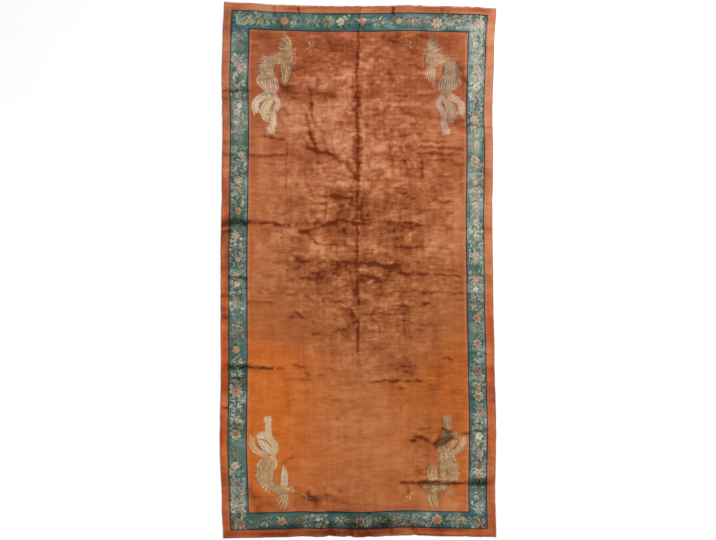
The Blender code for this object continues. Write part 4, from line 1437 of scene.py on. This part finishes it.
class Bird:
    """One phoenix: its inlay, its palette, and where its own places lie on the carpet."""

    def __init__(self, name, seed):
        x, y, self.mirrored, self.turned, self.feathers, self.body, self.form = PHOENIXES[name]
        self.waist = (x * CENTIMETRE, y * CENTIMETRE)
        self.inlay = Inlay(seed, RUST_GROUND, RUST_WORN)
        self.rng = self.inlay.rng

    def at(self, place):
        """The loom place of a place on the bird, drawn a little unevenly."""
        jitter = self.rng.normal(0, UNEVENNESS, 2)
        return (
            self.waist[0] + place[0] * self.mirrored * CENTIMETRE + jitter[0],
            self.waist[1] + place[1] * self.turned * CENTIMETRE + jitter[1],
        )

    def by_head(self, *places):
        """Places on the head and before it, moved to where this bird holds its head."""
        x, y = self.form["head"]
        return [(place[0] + x, place[1] + y) for place in places]

    def draw(self, stamp, path, half_width, colour, layer=0, ridge=1.0):
        """One stroke on the bird."""
        places = [self.at(place) for place in path]
        self.inlay.stroke(stamp, places, half_width * CENTIMETRE, colour, layer, ridge)

    def feather(self, path, half_width, colour, layer):
        """A feather with a thin darker quill down its middle."""
        self.draw("feather", path, half_width, colour, layer, 1.05)
        points = follow(path, np.linspace(0.04, 0.9, 5))[0]
        self.draw("quill", points, 0.12 * half_width, self.feathers[0], layer + 1)

    def plume(self, path, half_width, colour, layer):
        """A broad tail plume: a soft band with long pale strands in it and barbs along its rims."""
        self.draw("plume", path, half_width * 0.92, colour, layer)
        points, ahead = follow(path, np.linspace(0.02, 0.98, 7))
        out = np.stack((-ahead[:, 1], ahead[:, 0]), axis=1)
        strands = (self.feathers[2], colour, self.feathers[0], colour, self.feathers[2], colour)
        for index, strand in enumerate(strands):
            offset = ((index + 0.5) / len(strands) - 0.5) * 1.7 * half_width
            self.draw("feather", points + out * offset, half_width * 0.19, strand, layer + 1)
        points, ahead = follow(path, np.linspace(0.06, 0.97, int(path_length(path) / 2.0)))
        for point, way in zip(points, ahead):
            for side in (-1, 1):
                out = np.array((-way[1], way[0])) * side * half_width
                bend = point + way + out * 0.85
                tip = point + way * 3.0 + out * (0.94 + 0.16 * self.rng.random())
                dye = self.feathers[2] if self.rng.random() < 0.4 else colour
                self.draw("leaf", (point + out * 0.5, bend, tip), 0.75, dye, layer + 1, 0.98)

    def fan_out(self, first, last, count, longer, half_width, layer, waviness, shades):
        """Feathers spread evenly from a first path to a last one."""
        for index in range(count):
            share = index / (count - 1)
            path = (1 - share) * np.array(first) + share * np.array(last)
            way = path[2] - path[1]
            path[2] += way / np.hypot(*way) * longer * 4 * share * (1 - share)
            path[1] += self.rng.normal(0, waviness, 2)
            self.feather(path, half_width, self.feathers[shades[index % 2]], layer + index % 2)

    def scales(self, path, widths, length, shade, layer):
        """Rows of small feathers over a part of the body, each row half a feather off the last."""
        rows = int(path_length(path) / (length * 0.50))
        shares = (np.arange(rows) + 0.3) / rows
        points, ahead = follow(path, shares)
        half = np.interp(shares, (0.0, 0.5, 1.0), widths)
        colours = (self.body[shade], self.body[(shade + 1) % 3], self.body[shade], self.feathers[0])
        for row in range(rows):
            count = max(1, int(half[row] * 2 / (length * 0.46)))
            out = np.array((-ahead[row][1], ahead[row][0]))
            for column in range(count):
                offset = ((column + 0.5 + 0.5 * (row % 2) - 0.25) / count - 0.5) * 2 * half[row]
                root = points[row] + out * offset
                tip = root + ahead[row] * length - out * offset / half[row] * length * 0.16
                dye = colours[int(self.rng.integers(4))]
                self.draw("petal", (root, tip), length * 0.32, dye, layer + 1 + row % 2, 0.94)


def make_phoenix(name, seed):
    """One phoenix as one inlay: tail, body, wings, hackles and head, with a flowering twig before it."""
    bird = Bird(name, seed)
    form = bird.form
    for path, half_width, shade, layer in form["tail"]:
        bird.plume(path, half_width, bird.feathers[shade], layer)
    place = form["tail_end"]
    for index in range(TAIL_END_PETALS):
        angle = index / TAIL_END_PETALS * 2 * math.pi
        tip = (place[0] + TAIL_END_RADIUS * math.sin(angle), place[1] + TAIL_END_RADIUS * math.cos(angle))
        bird.draw("petal", (place, tip), TAIL_END_RADIUS * 0.28, bird.feathers[1 + index % 2], 1, 0.96)
    for path in form["gaps"]:
        bird.draw("leaf", path, 0.55, form["gap_colour"], 7)
    for path, widths, length, shade, layer in form["covered"]:
        bird.draw("mass", path, 1.04 * max(widths), bird.body[shade], layer - 1)
        bird.scales(path, widths, length, shade, layer)
    for fan_row in form["fans"]:
        bird.fan_out(*fan_row)
    bird.draw("plume", bird.by_head((17.0, 43.0), (22.0, 44.6), (27.0, 45.0)), 2.4, bird.body[2], 3)
    bird.draw("bud", bird.by_head((24.0, 45.6), (29.0, 44.6)), 2.2, "skin", 6)
    bird.draw("leaf", bird.by_head((28.0, 44.8), (30.6, 44.0), (32.0, 42.4)), 0.8, "umber", 7)
    bird.inlay.spot("dot", bird.at(bird.by_head((26.9, 45.4))[0]), 0.45 * CENTIMETRE, "navy", 8)
    for path, half_width, colour in form["crest"]:
        bird.draw("leaf", path, half_width, colour, 5, 0.95)
    for path, colour in TWIG:
        bird.draw("leaf", bird.by_head(*path), 0.75, colour, 0, 0.9)
    return bird.inlay.build(name)


# Shader node groups and materials

def new_group(name, inputs, outputs):
    """A shader node group. Each input is (name, socket kind, default), each output (name, socket kind)."""
    group = bpy.data.node_groups.new(name, "ShaderNodeTree")
    for label, kind, default in inputs:
        socket = group.interface.new_socket(label, in_out="INPUT", socket_type=kind)
        if default is not None:
            socket.default_value = default
    for label, kind in outputs:
        group.interface.new_socket(label, in_out="OUTPUT", socket_type=kind)
    source = group.nodes.new("NodeGroupInput")
    sink = group.nodes.new("NodeGroupOutput")
    return group, source.outputs, sink.inputs


class Nodes:
    """Short ways to add the nodes that this carpet's groups and materials use."""

    def __init__(self, tree):
        self.tree = tree

    def feed(self, socket, value):
        """Links a socket to another, or sets its value."""
        if isinstance(value, bpy.types.NodeSocket):
            self.tree.links.new(value, socket)
        elif value is not None:
            socket.default_value = value

    def maths(self, kind, first, second=None, clamp=False):
        """A Math node's value."""
        node = self.tree.nodes.new("ShaderNodeMath")
        node.operation = kind
        node.use_clamp = clamp
        for socket, value in zip(node.inputs, (first, second)):
            self.feed(socket, value)
        return node.outputs[0]

    def times(self, first, second, clamp=False):
        """One value times another."""
        return self.maths("MULTIPLY", first, second, clamp)

    def plus(self, first, second):
        """The sum of two values."""
        return self.maths("ADD", first, second)

    def minus(self, first, second):
        """One value less another."""
        return self.maths("SUBTRACT", first, second)

    def mix(self, share, first, second, kind="MIX"):
        """A mixed colour."""
        node = self.tree.nodes.new("ShaderNodeMix")
        node.data_type = "RGBA"
        node.blend_type = kind
        self.feed(node.inputs["Factor"], share)
        self.feed(node.inputs[6], first)
        self.feed(node.inputs[7], second)
        return node.outputs[2]

    def span(self, value, low, high, to_low=0.0, to_high=1.0, smooth_step=False):
        """A value carried from one range to another."""
        node = self.tree.nodes.new("ShaderNodeMapRange")
        node.interpolation_type = "SMOOTHSTEP" if smooth_step else "LINEAR"
        for name, number in (("Value", value), ("From Min", low), ("From Max", high),
                             ("To Min", to_low), ("To Max", to_high)):
            self.feed(node.inputs[name], number)
        return node.outputs[0]

    def noise(self, place, scale, detail, stretch=(1, 1, 1)):
        """Soft noise from 0 to 1 at a place, drawn out along the axes where stretch is small."""
        mapping = self.tree.nodes.new("ShaderNodeMapping")
        mapping.inputs["Scale"].default_value = stretch
        self.feed(mapping.inputs["Vector"], place)
        node = self.tree.nodes.new("ShaderNodeTexNoise")
        self.feed(node.inputs["Vector"], mapping.outputs[0])
        self.feed(node.inputs["Scale"], scale)
        self.feed(node.inputs["Detail"], detail)
        return node.outputs["Fac"]

    def read(self, name, output="Fac"):
        """A named attribute of the mesh."""
        node = self.tree.nodes.new("ShaderNodeAttribute")
        node.attribute_name = name
        return node.outputs[output]

    def parts(self, vector):
        """A vector's three values."""
        node = self.tree.nodes.new("ShaderNodeSeparateXYZ")
        self.feed(node.inputs[0], vector)
        return node.outputs

    def place(self):
        """Object coordinates."""
        return self.tree.nodes.new("ShaderNodeTexCoord").outputs["Object"]

    def bump(self, height, strength, distance, under=None):
        """A Bump node's normal, on top of another one where under is given."""
        node = self.tree.nodes.new("ShaderNodeBump")
        node.inputs["Strength"].default_value = strength
        node.inputs["Distance"].default_value = distance
        self.feed(node.inputs["Height"], height)
        self.feed(node.inputs["Normal"], under)
        return node.outputs[0]

    def use(self, group, **values):
        """A node group in this tree, with its inputs fed."""
        node = self.tree.nodes.new("ShaderNodeGroup")
        node.node_tree = group
        for name, value in values.items():
            self.feed(node.inputs[name], value)
        return node.outputs


def rgba(*colour):
    """A daylight colour as a linear colour with alpha."""
    return (*linear(*colour), 1.0)


def lean_shaded_wool():
    """The colour of dyed pile with painted light and shade by how it lies: painted shade where it leans away,
    painted highlight where it faces the light.
    """
    group, given, out = new_group("lean shaded wool", (
        ("Dye", "NodeSocketColor", (0.4, 0.15, 0.06, 1)),
        ("Deep", "NodeSocketColor", (0.12, 0.02, 0.005, 1)),
        ("Pale", "NodeSocketColor", (0.7, 0.4, 0.28, 1)),
        ("Lean", "NodeSocketFloat", 0.0),
        ("Tuft", "NodeSocketFloat", 0.5),
    ), (("Color", "NodeSocketColor"),))
    nodes = Nodes(group)
    away = nodes.times(given["Lean"], 1.0, clamp=True)
    towards = nodes.times(given["Lean"], -1.0, clamp=True)
    colour = nodes.mix(away, given["Dye"], given["Deep"])
    colour = nodes.mix(towards, colour, given["Pale"])
    fleck = nodes.span(given["Tuft"], 0.0, 1.0, 0.82, 1.18)
    grey = group.nodes.new("ShaderNodeCombineColor")
    for socket in grey.inputs:
        nodes.feed(socket, fleck)
    nodes.feed(out["Color"], nodes.mix(1.0, colour, grey.outputs[0], "MULTIPLY"))
    return group


def cut_pile():
    """The tufts of the cut pile in rows of knots: a fleck for the colour and a height for the bump."""
    group, given, out = new_group("cut pile", (
        ("Place", "NodeSocketVector", None),
        ("Knots per metre", "NodeSocketFloat", 290.0),
        ("Rows", "NodeSocketFloat", 0.24),
    ), (("Tuft", "NodeSocketFloat"), ("Height", "NodeSocketFloat")))
    nodes = Nodes(group)
    cells = group.nodes.new("ShaderNodeTexVoronoi")
    nodes.feed(cells.inputs["Vector"], given["Place"])
    nodes.feed(cells.inputs["Scale"], given["Knots per metre"])
    flock = nodes.noise(given["Place"], 95.0, 3.0)
    rows = nodes.noise(given["Place"], 150.0, 1.0, (0.12, 1.0, 1.0))
    warps = nodes.noise(given["Place"], 120.0, 1.0, (1.0, 0.12, 1.0))
    lines = nodes.plus(nodes.times(rows, 0.70), nodes.times(warps, 0.30))
    flock = nodes.times(flock, nodes.minus(1.0, given["Rows"]))
    tuft = nodes.plus(flock, nodes.times(lines, given["Rows"]))
    nodes.feed(out["Tuft"], nodes.span(tuft, 0.32, 0.68))
    nodes.feed(out["Height"], nodes.minus(tuft, nodes.times(cells.outputs["Distance"], 0.45)))
    return group


def brushed_lie():
    """Small changes in how the pile lies, in strokes across, along and between, painted as light and shade
    and used for the bump.
    """
    group, given, out = new_group("brushed lie", (
        ("Place", "NodeSocketVector", None),
        ("Ruffled", "NodeSocketFloat", 0.0),
    ), (("Lean", "NodeSocketFloat"),))
    nodes = Nodes(group)

    def strokes(scale, detail, stretch, reach):
        """Noise drawn out into strokes, from -reach to reach."""
        return nodes.span(nodes.noise(given["Place"], scale, detail, stretch), 0.36, 0.64, -reach, reach)

    across = strokes(30.0, 3.0, (0.32, 1.0, 1.0), 1.0)
    along = strokes(34.0, 3.0, (1.0, 0.20, 1.0), 1.0)
    dabs = strokes(24.0, 4.0, (1.0, 1.0, 1.0), 1.0)
    drifts = strokes(9.0, 4.0, (0.5, 1.0, 1.0), 0.09)
    rough = nodes.plus(nodes.times(dabs, 0.15), nodes.times(across, 0.14))
    fine = nodes.plus(nodes.times(across, 0.085), nodes.times(along, 0.04))
    lean_shading = nodes.plus(nodes.times(rough, given["Ruffled"]), nodes.plus(fine, drifts))
    nodes.feed(out["Lean"], lean_shading)
    return group


EDGE_SOFTNESS = 0.0015
OUTER_SOFTNESS = 0.002
FIELD_EDGE = 0.026


def border_bands():
    """Which band of the border a loom place lies in, with hand-knotted edges: outer rust, the two dark
    lines, teal, and the lighter line at the field's edge."""
    group, given, out = new_group("border bands", (
        ("Loom", "NodeSocketVector", None),
        ("Unevenness", "NodeSocketFloat", 0.003),
    ), (("Lines", "NodeSocketFloat"), ("Teal", "NodeSocketFloat"), ("Outer", "NodeSocketFloat"),
        ("Field edge", "NodeSocketFloat")))
    nodes = Nodes(group)
    place = nodes.parts(given["Loom"])
    from_side = nodes.minus(HALF_WIDTH, nodes.maths("ABSOLUTE", place[0]))
    from_end = nodes.minus(HALF_LENGTH, nodes.maths("ABSOLUTE", place[1]))
    inside = nodes.maths("MINIMUM", from_side, from_end)
    waver = nodes.minus(nodes.noise(given["Loom"], 9.0, 3.0), 0.5)
    inside = nodes.plus(inside, nodes.times(waver, given["Unevenness"]))

    def between(low, high):
        """A mask that is 1 from one distance inside the edge to another."""
        rise = nodes.span(inside, low - EDGE_SOFTNESS, low + EDGE_SOFTNESS)
        fall = nodes.span(inside, high - EDGE_SOFTNESS, high + EDGE_SOFTNESS, 1.0, 0.0)
        return nodes.times(rise, fall)

    lines = nodes.plus(between(OUTER_BAND, TEAL_STARTS), between(TEAL_ENDS, FIELD_STARTS))
    outer = nodes.span(inside, OUTER_BAND - OUTER_SOFTNESS, OUTER_BAND + OUTER_SOFTNESS, 1.0, 0.0)
    along_sides = nodes.span(from_side, 0.34, 0.40, 1.0, 0.35)
    nodes.feed(out["Lines"], lines)
    nodes.feed(out["Teal"], between(TEAL_STARTS, TEAL_ENDS))
    nodes.feed(out["Outer"], outer)
    nodes.feed(out["Field edge"], nodes.times(between(FIELD_STARTS, FIELD_STARTS + FIELD_EDGE), along_sides))
    return group


LEAN_SHADED_WOOL = lean_shaded_wool()
CUT_PILE = cut_pile()
BRUSHED_LIE = brushed_lie()
BORDER_BANDS = border_bands()


def new_material(name, roughness, sheen):
    """A wool or cotton material, with its shader's inputs and a way to add its nodes."""
    material = bpy.data.materials.new(name)
    material.use_nodes = True
    surface = material.node_tree.nodes["Principled BSDF"].inputs
    surface["Roughness"].default_value = roughness
    surface["Specular IOR Level"].default_value = 0.12
    surface["Sheen Weight"].default_value = sheen
    surface["Sheen Roughness"].default_value = 0.5
    surface["Sheen Tint"].default_value = (1.0, 0.9, 0.8, 1.0)
    return material, surface, Nodes(material.node_tree)


def pile_material():
    """The cut wool pile of the ground: field, dark lines, teal border and outer band."""
    material, surface, nodes = new_material("wool_pile", 0.86, 0.10)
    place = nodes.place()
    tufts = nodes.use(CUT_PILE, Place=place)
    lie = nodes.use(BRUSHED_LIE, Place=place, Ruffled=nodes.read("ruffled"))
    lean_shading = nodes.plus(nodes.read("lean_shading"), lie["Lean"])
    loom = nodes.read("loom", "Vector")
    bands = nodes.use(BORDER_BANDS, Loom=loom)
    rosy = nodes.span(nodes.parts(loom)[1], -0.6, 2.4, 0.0, 1.0, True)
    warmth = nodes.read("warmth")
    warm = nodes.times(warmth, 1.0, clamp=True)
    brown = nodes.times(warmth, -1.0, clamp=True)

    def wool(dye, deep, pale):
        """A dye's colour with painted shade and highlight by how its pile lies."""
        group = nodes.use(LEAN_SHADED_WOOL, Dye=dye, Deep=deep, Pale=pale, Lean=lean_shading, Tuft=tufts["Tuft"])
        return group["Color"]

    field = nodes.mix(warm, rgba(155, 88, 47), rgba(182, 93, 31))
    field = nodes.mix(brown, field, rgba(140, 78, 40))
    field = nodes.mix(nodes.times(rosy, 0.75), field, rgba(154, 80, 49))
    field = nodes.mix(nodes.times(bands["Field edge"], 0.45), field, rgba(190, 108, 82))
    outer = nodes.mix(warm, rgba(160, 90, 54), rgba(184, 80, 34))
    outer = nodes.mix(nodes.times(rosy, 0.55), outer, rgba(168, 106, 76))
    rust = nodes.mix(bands["Outer"], field, outer)
    pale_rust = nodes.mix(rosy, rgba(196, 132, 88), rgba(196, 136, 102))
    teal = nodes.mix(nodes.read("blueness"), rgba(72, 100, 88), rgba(56, 96, 104))
    # The dark and pale colours after each dye are its painted shade and painted highlight.
    colour = nodes.mix(bands["Teal"], wool(rust, rgba(94, 36, 10), pale_rust),
                       wool(teal, rgba(24, 36, 28), rgba(156, 164, 152)))
    colour = nodes.mix(bands["Lines"], colour, wool(rgba(34, 48, 46), rgba(16, 24, 22), rgba(84, 100, 96)))
    nodes.feed(surface["Base Color"], colour)
    nodes.feed(surface["Roughness"], nodes.span(lean_shading, -1.0, 1.0, 0.74, 0.94))
    coarse = nodes.bump(lie["Lean"], 0.35, 0.004)
    nodes.feed(surface["Normal"], nodes.bump(tufts["Height"], 0.5, 0.0012, coarse))
    return material


def motif_material():
    """The same pile in the motifs' own dyes, with the ground's painted light and shade and its rubbed marks
    carried over them.
    """
    material, surface, nodes = new_material("motif_wool", 0.86, 0.10)
    place = nodes.place()
    tufts = nodes.use(CUT_PILE, Place=place, Rows=0.2)
    lie = nodes.use(BRUSHED_LIE, Place=place, Ruffled=nodes.read("ruffled"))
    lean_shading = nodes.plus(nodes.read("lean_shading"), lie["Lean"])
    dye = nodes.read("dye", "Color")
    # Painted shade and painted highlight colours made from the dye.
    deep = nodes.mix(1.0, dye, (0.30, 0.25, 0.18, 1), "MULTIPLY")
    pale = nodes.mix(0.35, dye, (0.80, 0.72, 0.60, 1))
    wool = nodes.use(LEAN_SHADED_WOOL, Dye=dye, Deep=deep, Pale=pale, Lean=lean_shading, Tuft=tufts["Tuft"])
    nodes.feed(surface["Base Color"], wool["Color"])
    nodes.feed(surface["Roughness"], nodes.span(lean_shading, -1.0, 1.0, 0.74, 0.94))
    nodes.feed(surface["Normal"], nodes.bump(tufts["Height"], 0.62, 0.0016))
    return material


def web_material():
    """The undyed cotton web at the ends, rubbed and stained by the wool beside it, with painted shade at the
    near end.
    """
    material, surface, nodes = new_material("end_web", 0.92, 0.05)
    place = nodes.place()
    threads = nodes.noise(place, 420.0, 1.0, (0.3, 1.0, 1.0))
    stain = nodes.span(nodes.noise(place, 14.0, 3.0, (1.0, 0.3, 1.0)), 0.44, 0.58)
    far_end = nodes.span(nodes.parts(nodes.read("loom", "Vector"))[1], -0.5, 0.5)
    cotton = nodes.mix(nodes.times(stain, 0.75), rgba(216, 174, 148), rgba(170, 92, 58))
    # Painted shade: the web is dark brown at the near end.
    cotton = nodes.mix(far_end, rgba(120, 62, 38), cotton)
    shade = nodes.span(threads, 0.3, 0.7, 0.0, 0.35)
    nodes.feed(surface["Base Color"], nodes.mix(shade, cotton, rgba(110, 70, 46)))
    nodes.feed(surface["Normal"], nodes.bump(threads, 0.5, 0.0008))
    return material


def overcast_material():
    """Rust wool wound closely round the sides."""
    material, surface, nodes = new_material("overcast_sides", 0.88, 0.08)
    place = nodes.place()
    wraps = nodes.tree.nodes.new("ShaderNodeTexWave")
    wraps.bands_direction = "Y"
    nodes.feed(wraps.inputs["Vector"], place)
    for name, number in (("Scale", 95.0), ("Distortion", 1.4), ("Detail", 2.0), ("Detail Scale", 3.0)):
        wraps.inputs[name].default_value = number
    tone = nodes.span(nodes.noise(place, 7.0, 3.0), 0.36, 0.64)
    wool = nodes.mix(tone, rgba(150, 76, 46), rgba(176, 108, 78))
    shade = nodes.span(wraps.outputs["Fac"], 0.0, 1.0, 0.45, 0.0)
    nodes.feed(surface["Base Color"], nodes.mix(shade, wool, rgba(74, 34, 18)))
    nodes.feed(surface["Normal"], nodes.bump(wraps.outputs["Fac"], 0.6, 0.0015))
    return material


def back_material():
    """The flat woven back, where the bands show through in rows of knots."""
    material, surface, nodes = new_material("woven_back", 0.92, 0.04)
    place = nodes.place()
    bands = nodes.use(BORDER_BANDS, Loom=nodes.read("loom", "Vector"), Unevenness=0.006)
    rows = nodes.noise(place, 260.0, 1.0, (0.12, 1.0, 1.0))
    warps = nodes.noise(place, 240.0, 1.0, (1.0, 0.15, 1.0))
    knots = nodes.plus(nodes.times(rows, 0.6), nodes.times(warps, 0.4))
    wear = nodes.span(nodes.noise(place, 5.0, 4.0), 0.35, 0.65, 0.0, 0.25)
    ground = nodes.mix(bands["Teal"], rgba(158, 92, 62), rgba(84, 112, 104))
    ground = nodes.mix(bands["Lines"], ground, rgba(48, 62, 62))
    ground = nodes.mix(wear, ground, rgba(176, 150, 124))
    shade = nodes.span(knots, 0.35, 0.65, 0.45, 0.0)
    nodes.feed(surface["Base Color"], nodes.mix(shade, ground, rgba(74, 52, 40)))
    nodes.feed(surface["Normal"], nodes.bump(knots, 0.5, 0.001))
    return material


# Floor, lights and camera
PHOTO_WIDTH_PX = 716
METRES_PER_PX = 0.01121
LENS_MM = 85
SENSOR_MM = 36
SIGHT_LIMIT = 200
FLOOR_SIZE = 60
FLOOR_GAP = 0.0005


def make_floor():
    """A plain pale floor, far wider than the carpet."""
    deselect()
    bpy.ops.mesh.primitive_plane_add(size=FLOOR_SIZE, location=(0, 0, -FLOOR_GAP))
    floor = bpy.context.object
    floor.name = floor.data.name = "studio_floor"
    material = bpy.data.materials.new("studio_floor")
    material.use_nodes = True
    nodes = Nodes(material.node_tree)
    surface = material.node_tree.nodes["Principled BSDF"].inputs
    grain = nodes.noise(nodes.place(), 2.0, 3.0)
    nodes.feed(surface["Base Color"], nodes.mix(grain, (0.93, 0.93, 0.93, 1), (0.95, 0.95, 0.95, 1)))
    surface["Roughness"].default_value = 0.9
    floor.data.materials.append(material)


def add_light(name, place, turn, size, watts):
    """A square soft light. Its turn is in degrees."""
    data = bpy.data.lights.new(name, "AREA")
    data.size = size
    data.energy = watts
    light = bpy.data.objects.new(name, data)
    light.location = place
    light.rotation_euler = [math.radians(angle) for angle in turn]
    bpy.context.scene.collection.objects.link(light)


def light_scene():
    """Even daylight-white studio light, with a low light over the far right corner to catch the pile."""
    world = bpy.data.worlds.new("studio")
    bpy.context.scene.world = world
    world.use_nodes = True
    background = world.node_tree.nodes["Background"]
    background.inputs["Color"].default_value = (1, 1, 1, 1)
    background.inputs["Strength"].default_value = 0.62
    add_light("key", (7.5, 6.0, 5.5), (0, 54, 39), 4.0, 900)
    add_light("fill", (-6.0, -5.0, 8.0), (0, -42, 40), 6.0, 420)


def place_camera():
    """Straight above the carpet, with its far end at the top of the picture."""
    data = bpy.data.cameras.new("camera")
    data.lens = LENS_MM
    data.sensor_width = SENSOR_MM
    data.clip_end = SIGHT_LIMIT
    camera = bpy.data.objects.new("camera", data)
    height = PHOTO_WIDTH_PX * METRES_PER_PX * LENS_MM / SENSOR_MM
    camera.location = (0, 0, height + CARPET_THICKNESS)
    bpy.context.scene.collection.objects.link(camera)
    bpy.context.scene.camera = camera


place_camera()
light_scene()
make_floor()

carpet = make_carpet()
for material in (pile_material(), web_material(), overcast_material(), back_material()):
    carpet.data.materials.append(material)
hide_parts("carpet")
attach(carpet, "root")

motifs = [make_border(side, seed) for seed, side in enumerate(RUNS, 101)]
motifs += [make_phoenix(name, seed) for seed, name in enumerate(PHOENIXES, 201)]
motif_wool = motif_material()
for motif in motifs:
    motif.data.materials.append(motif_wool)
    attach(motif, "root")

bpy.context.scene.view_settings.view_transform = "Standard"
bpy.context.view_layer.update()
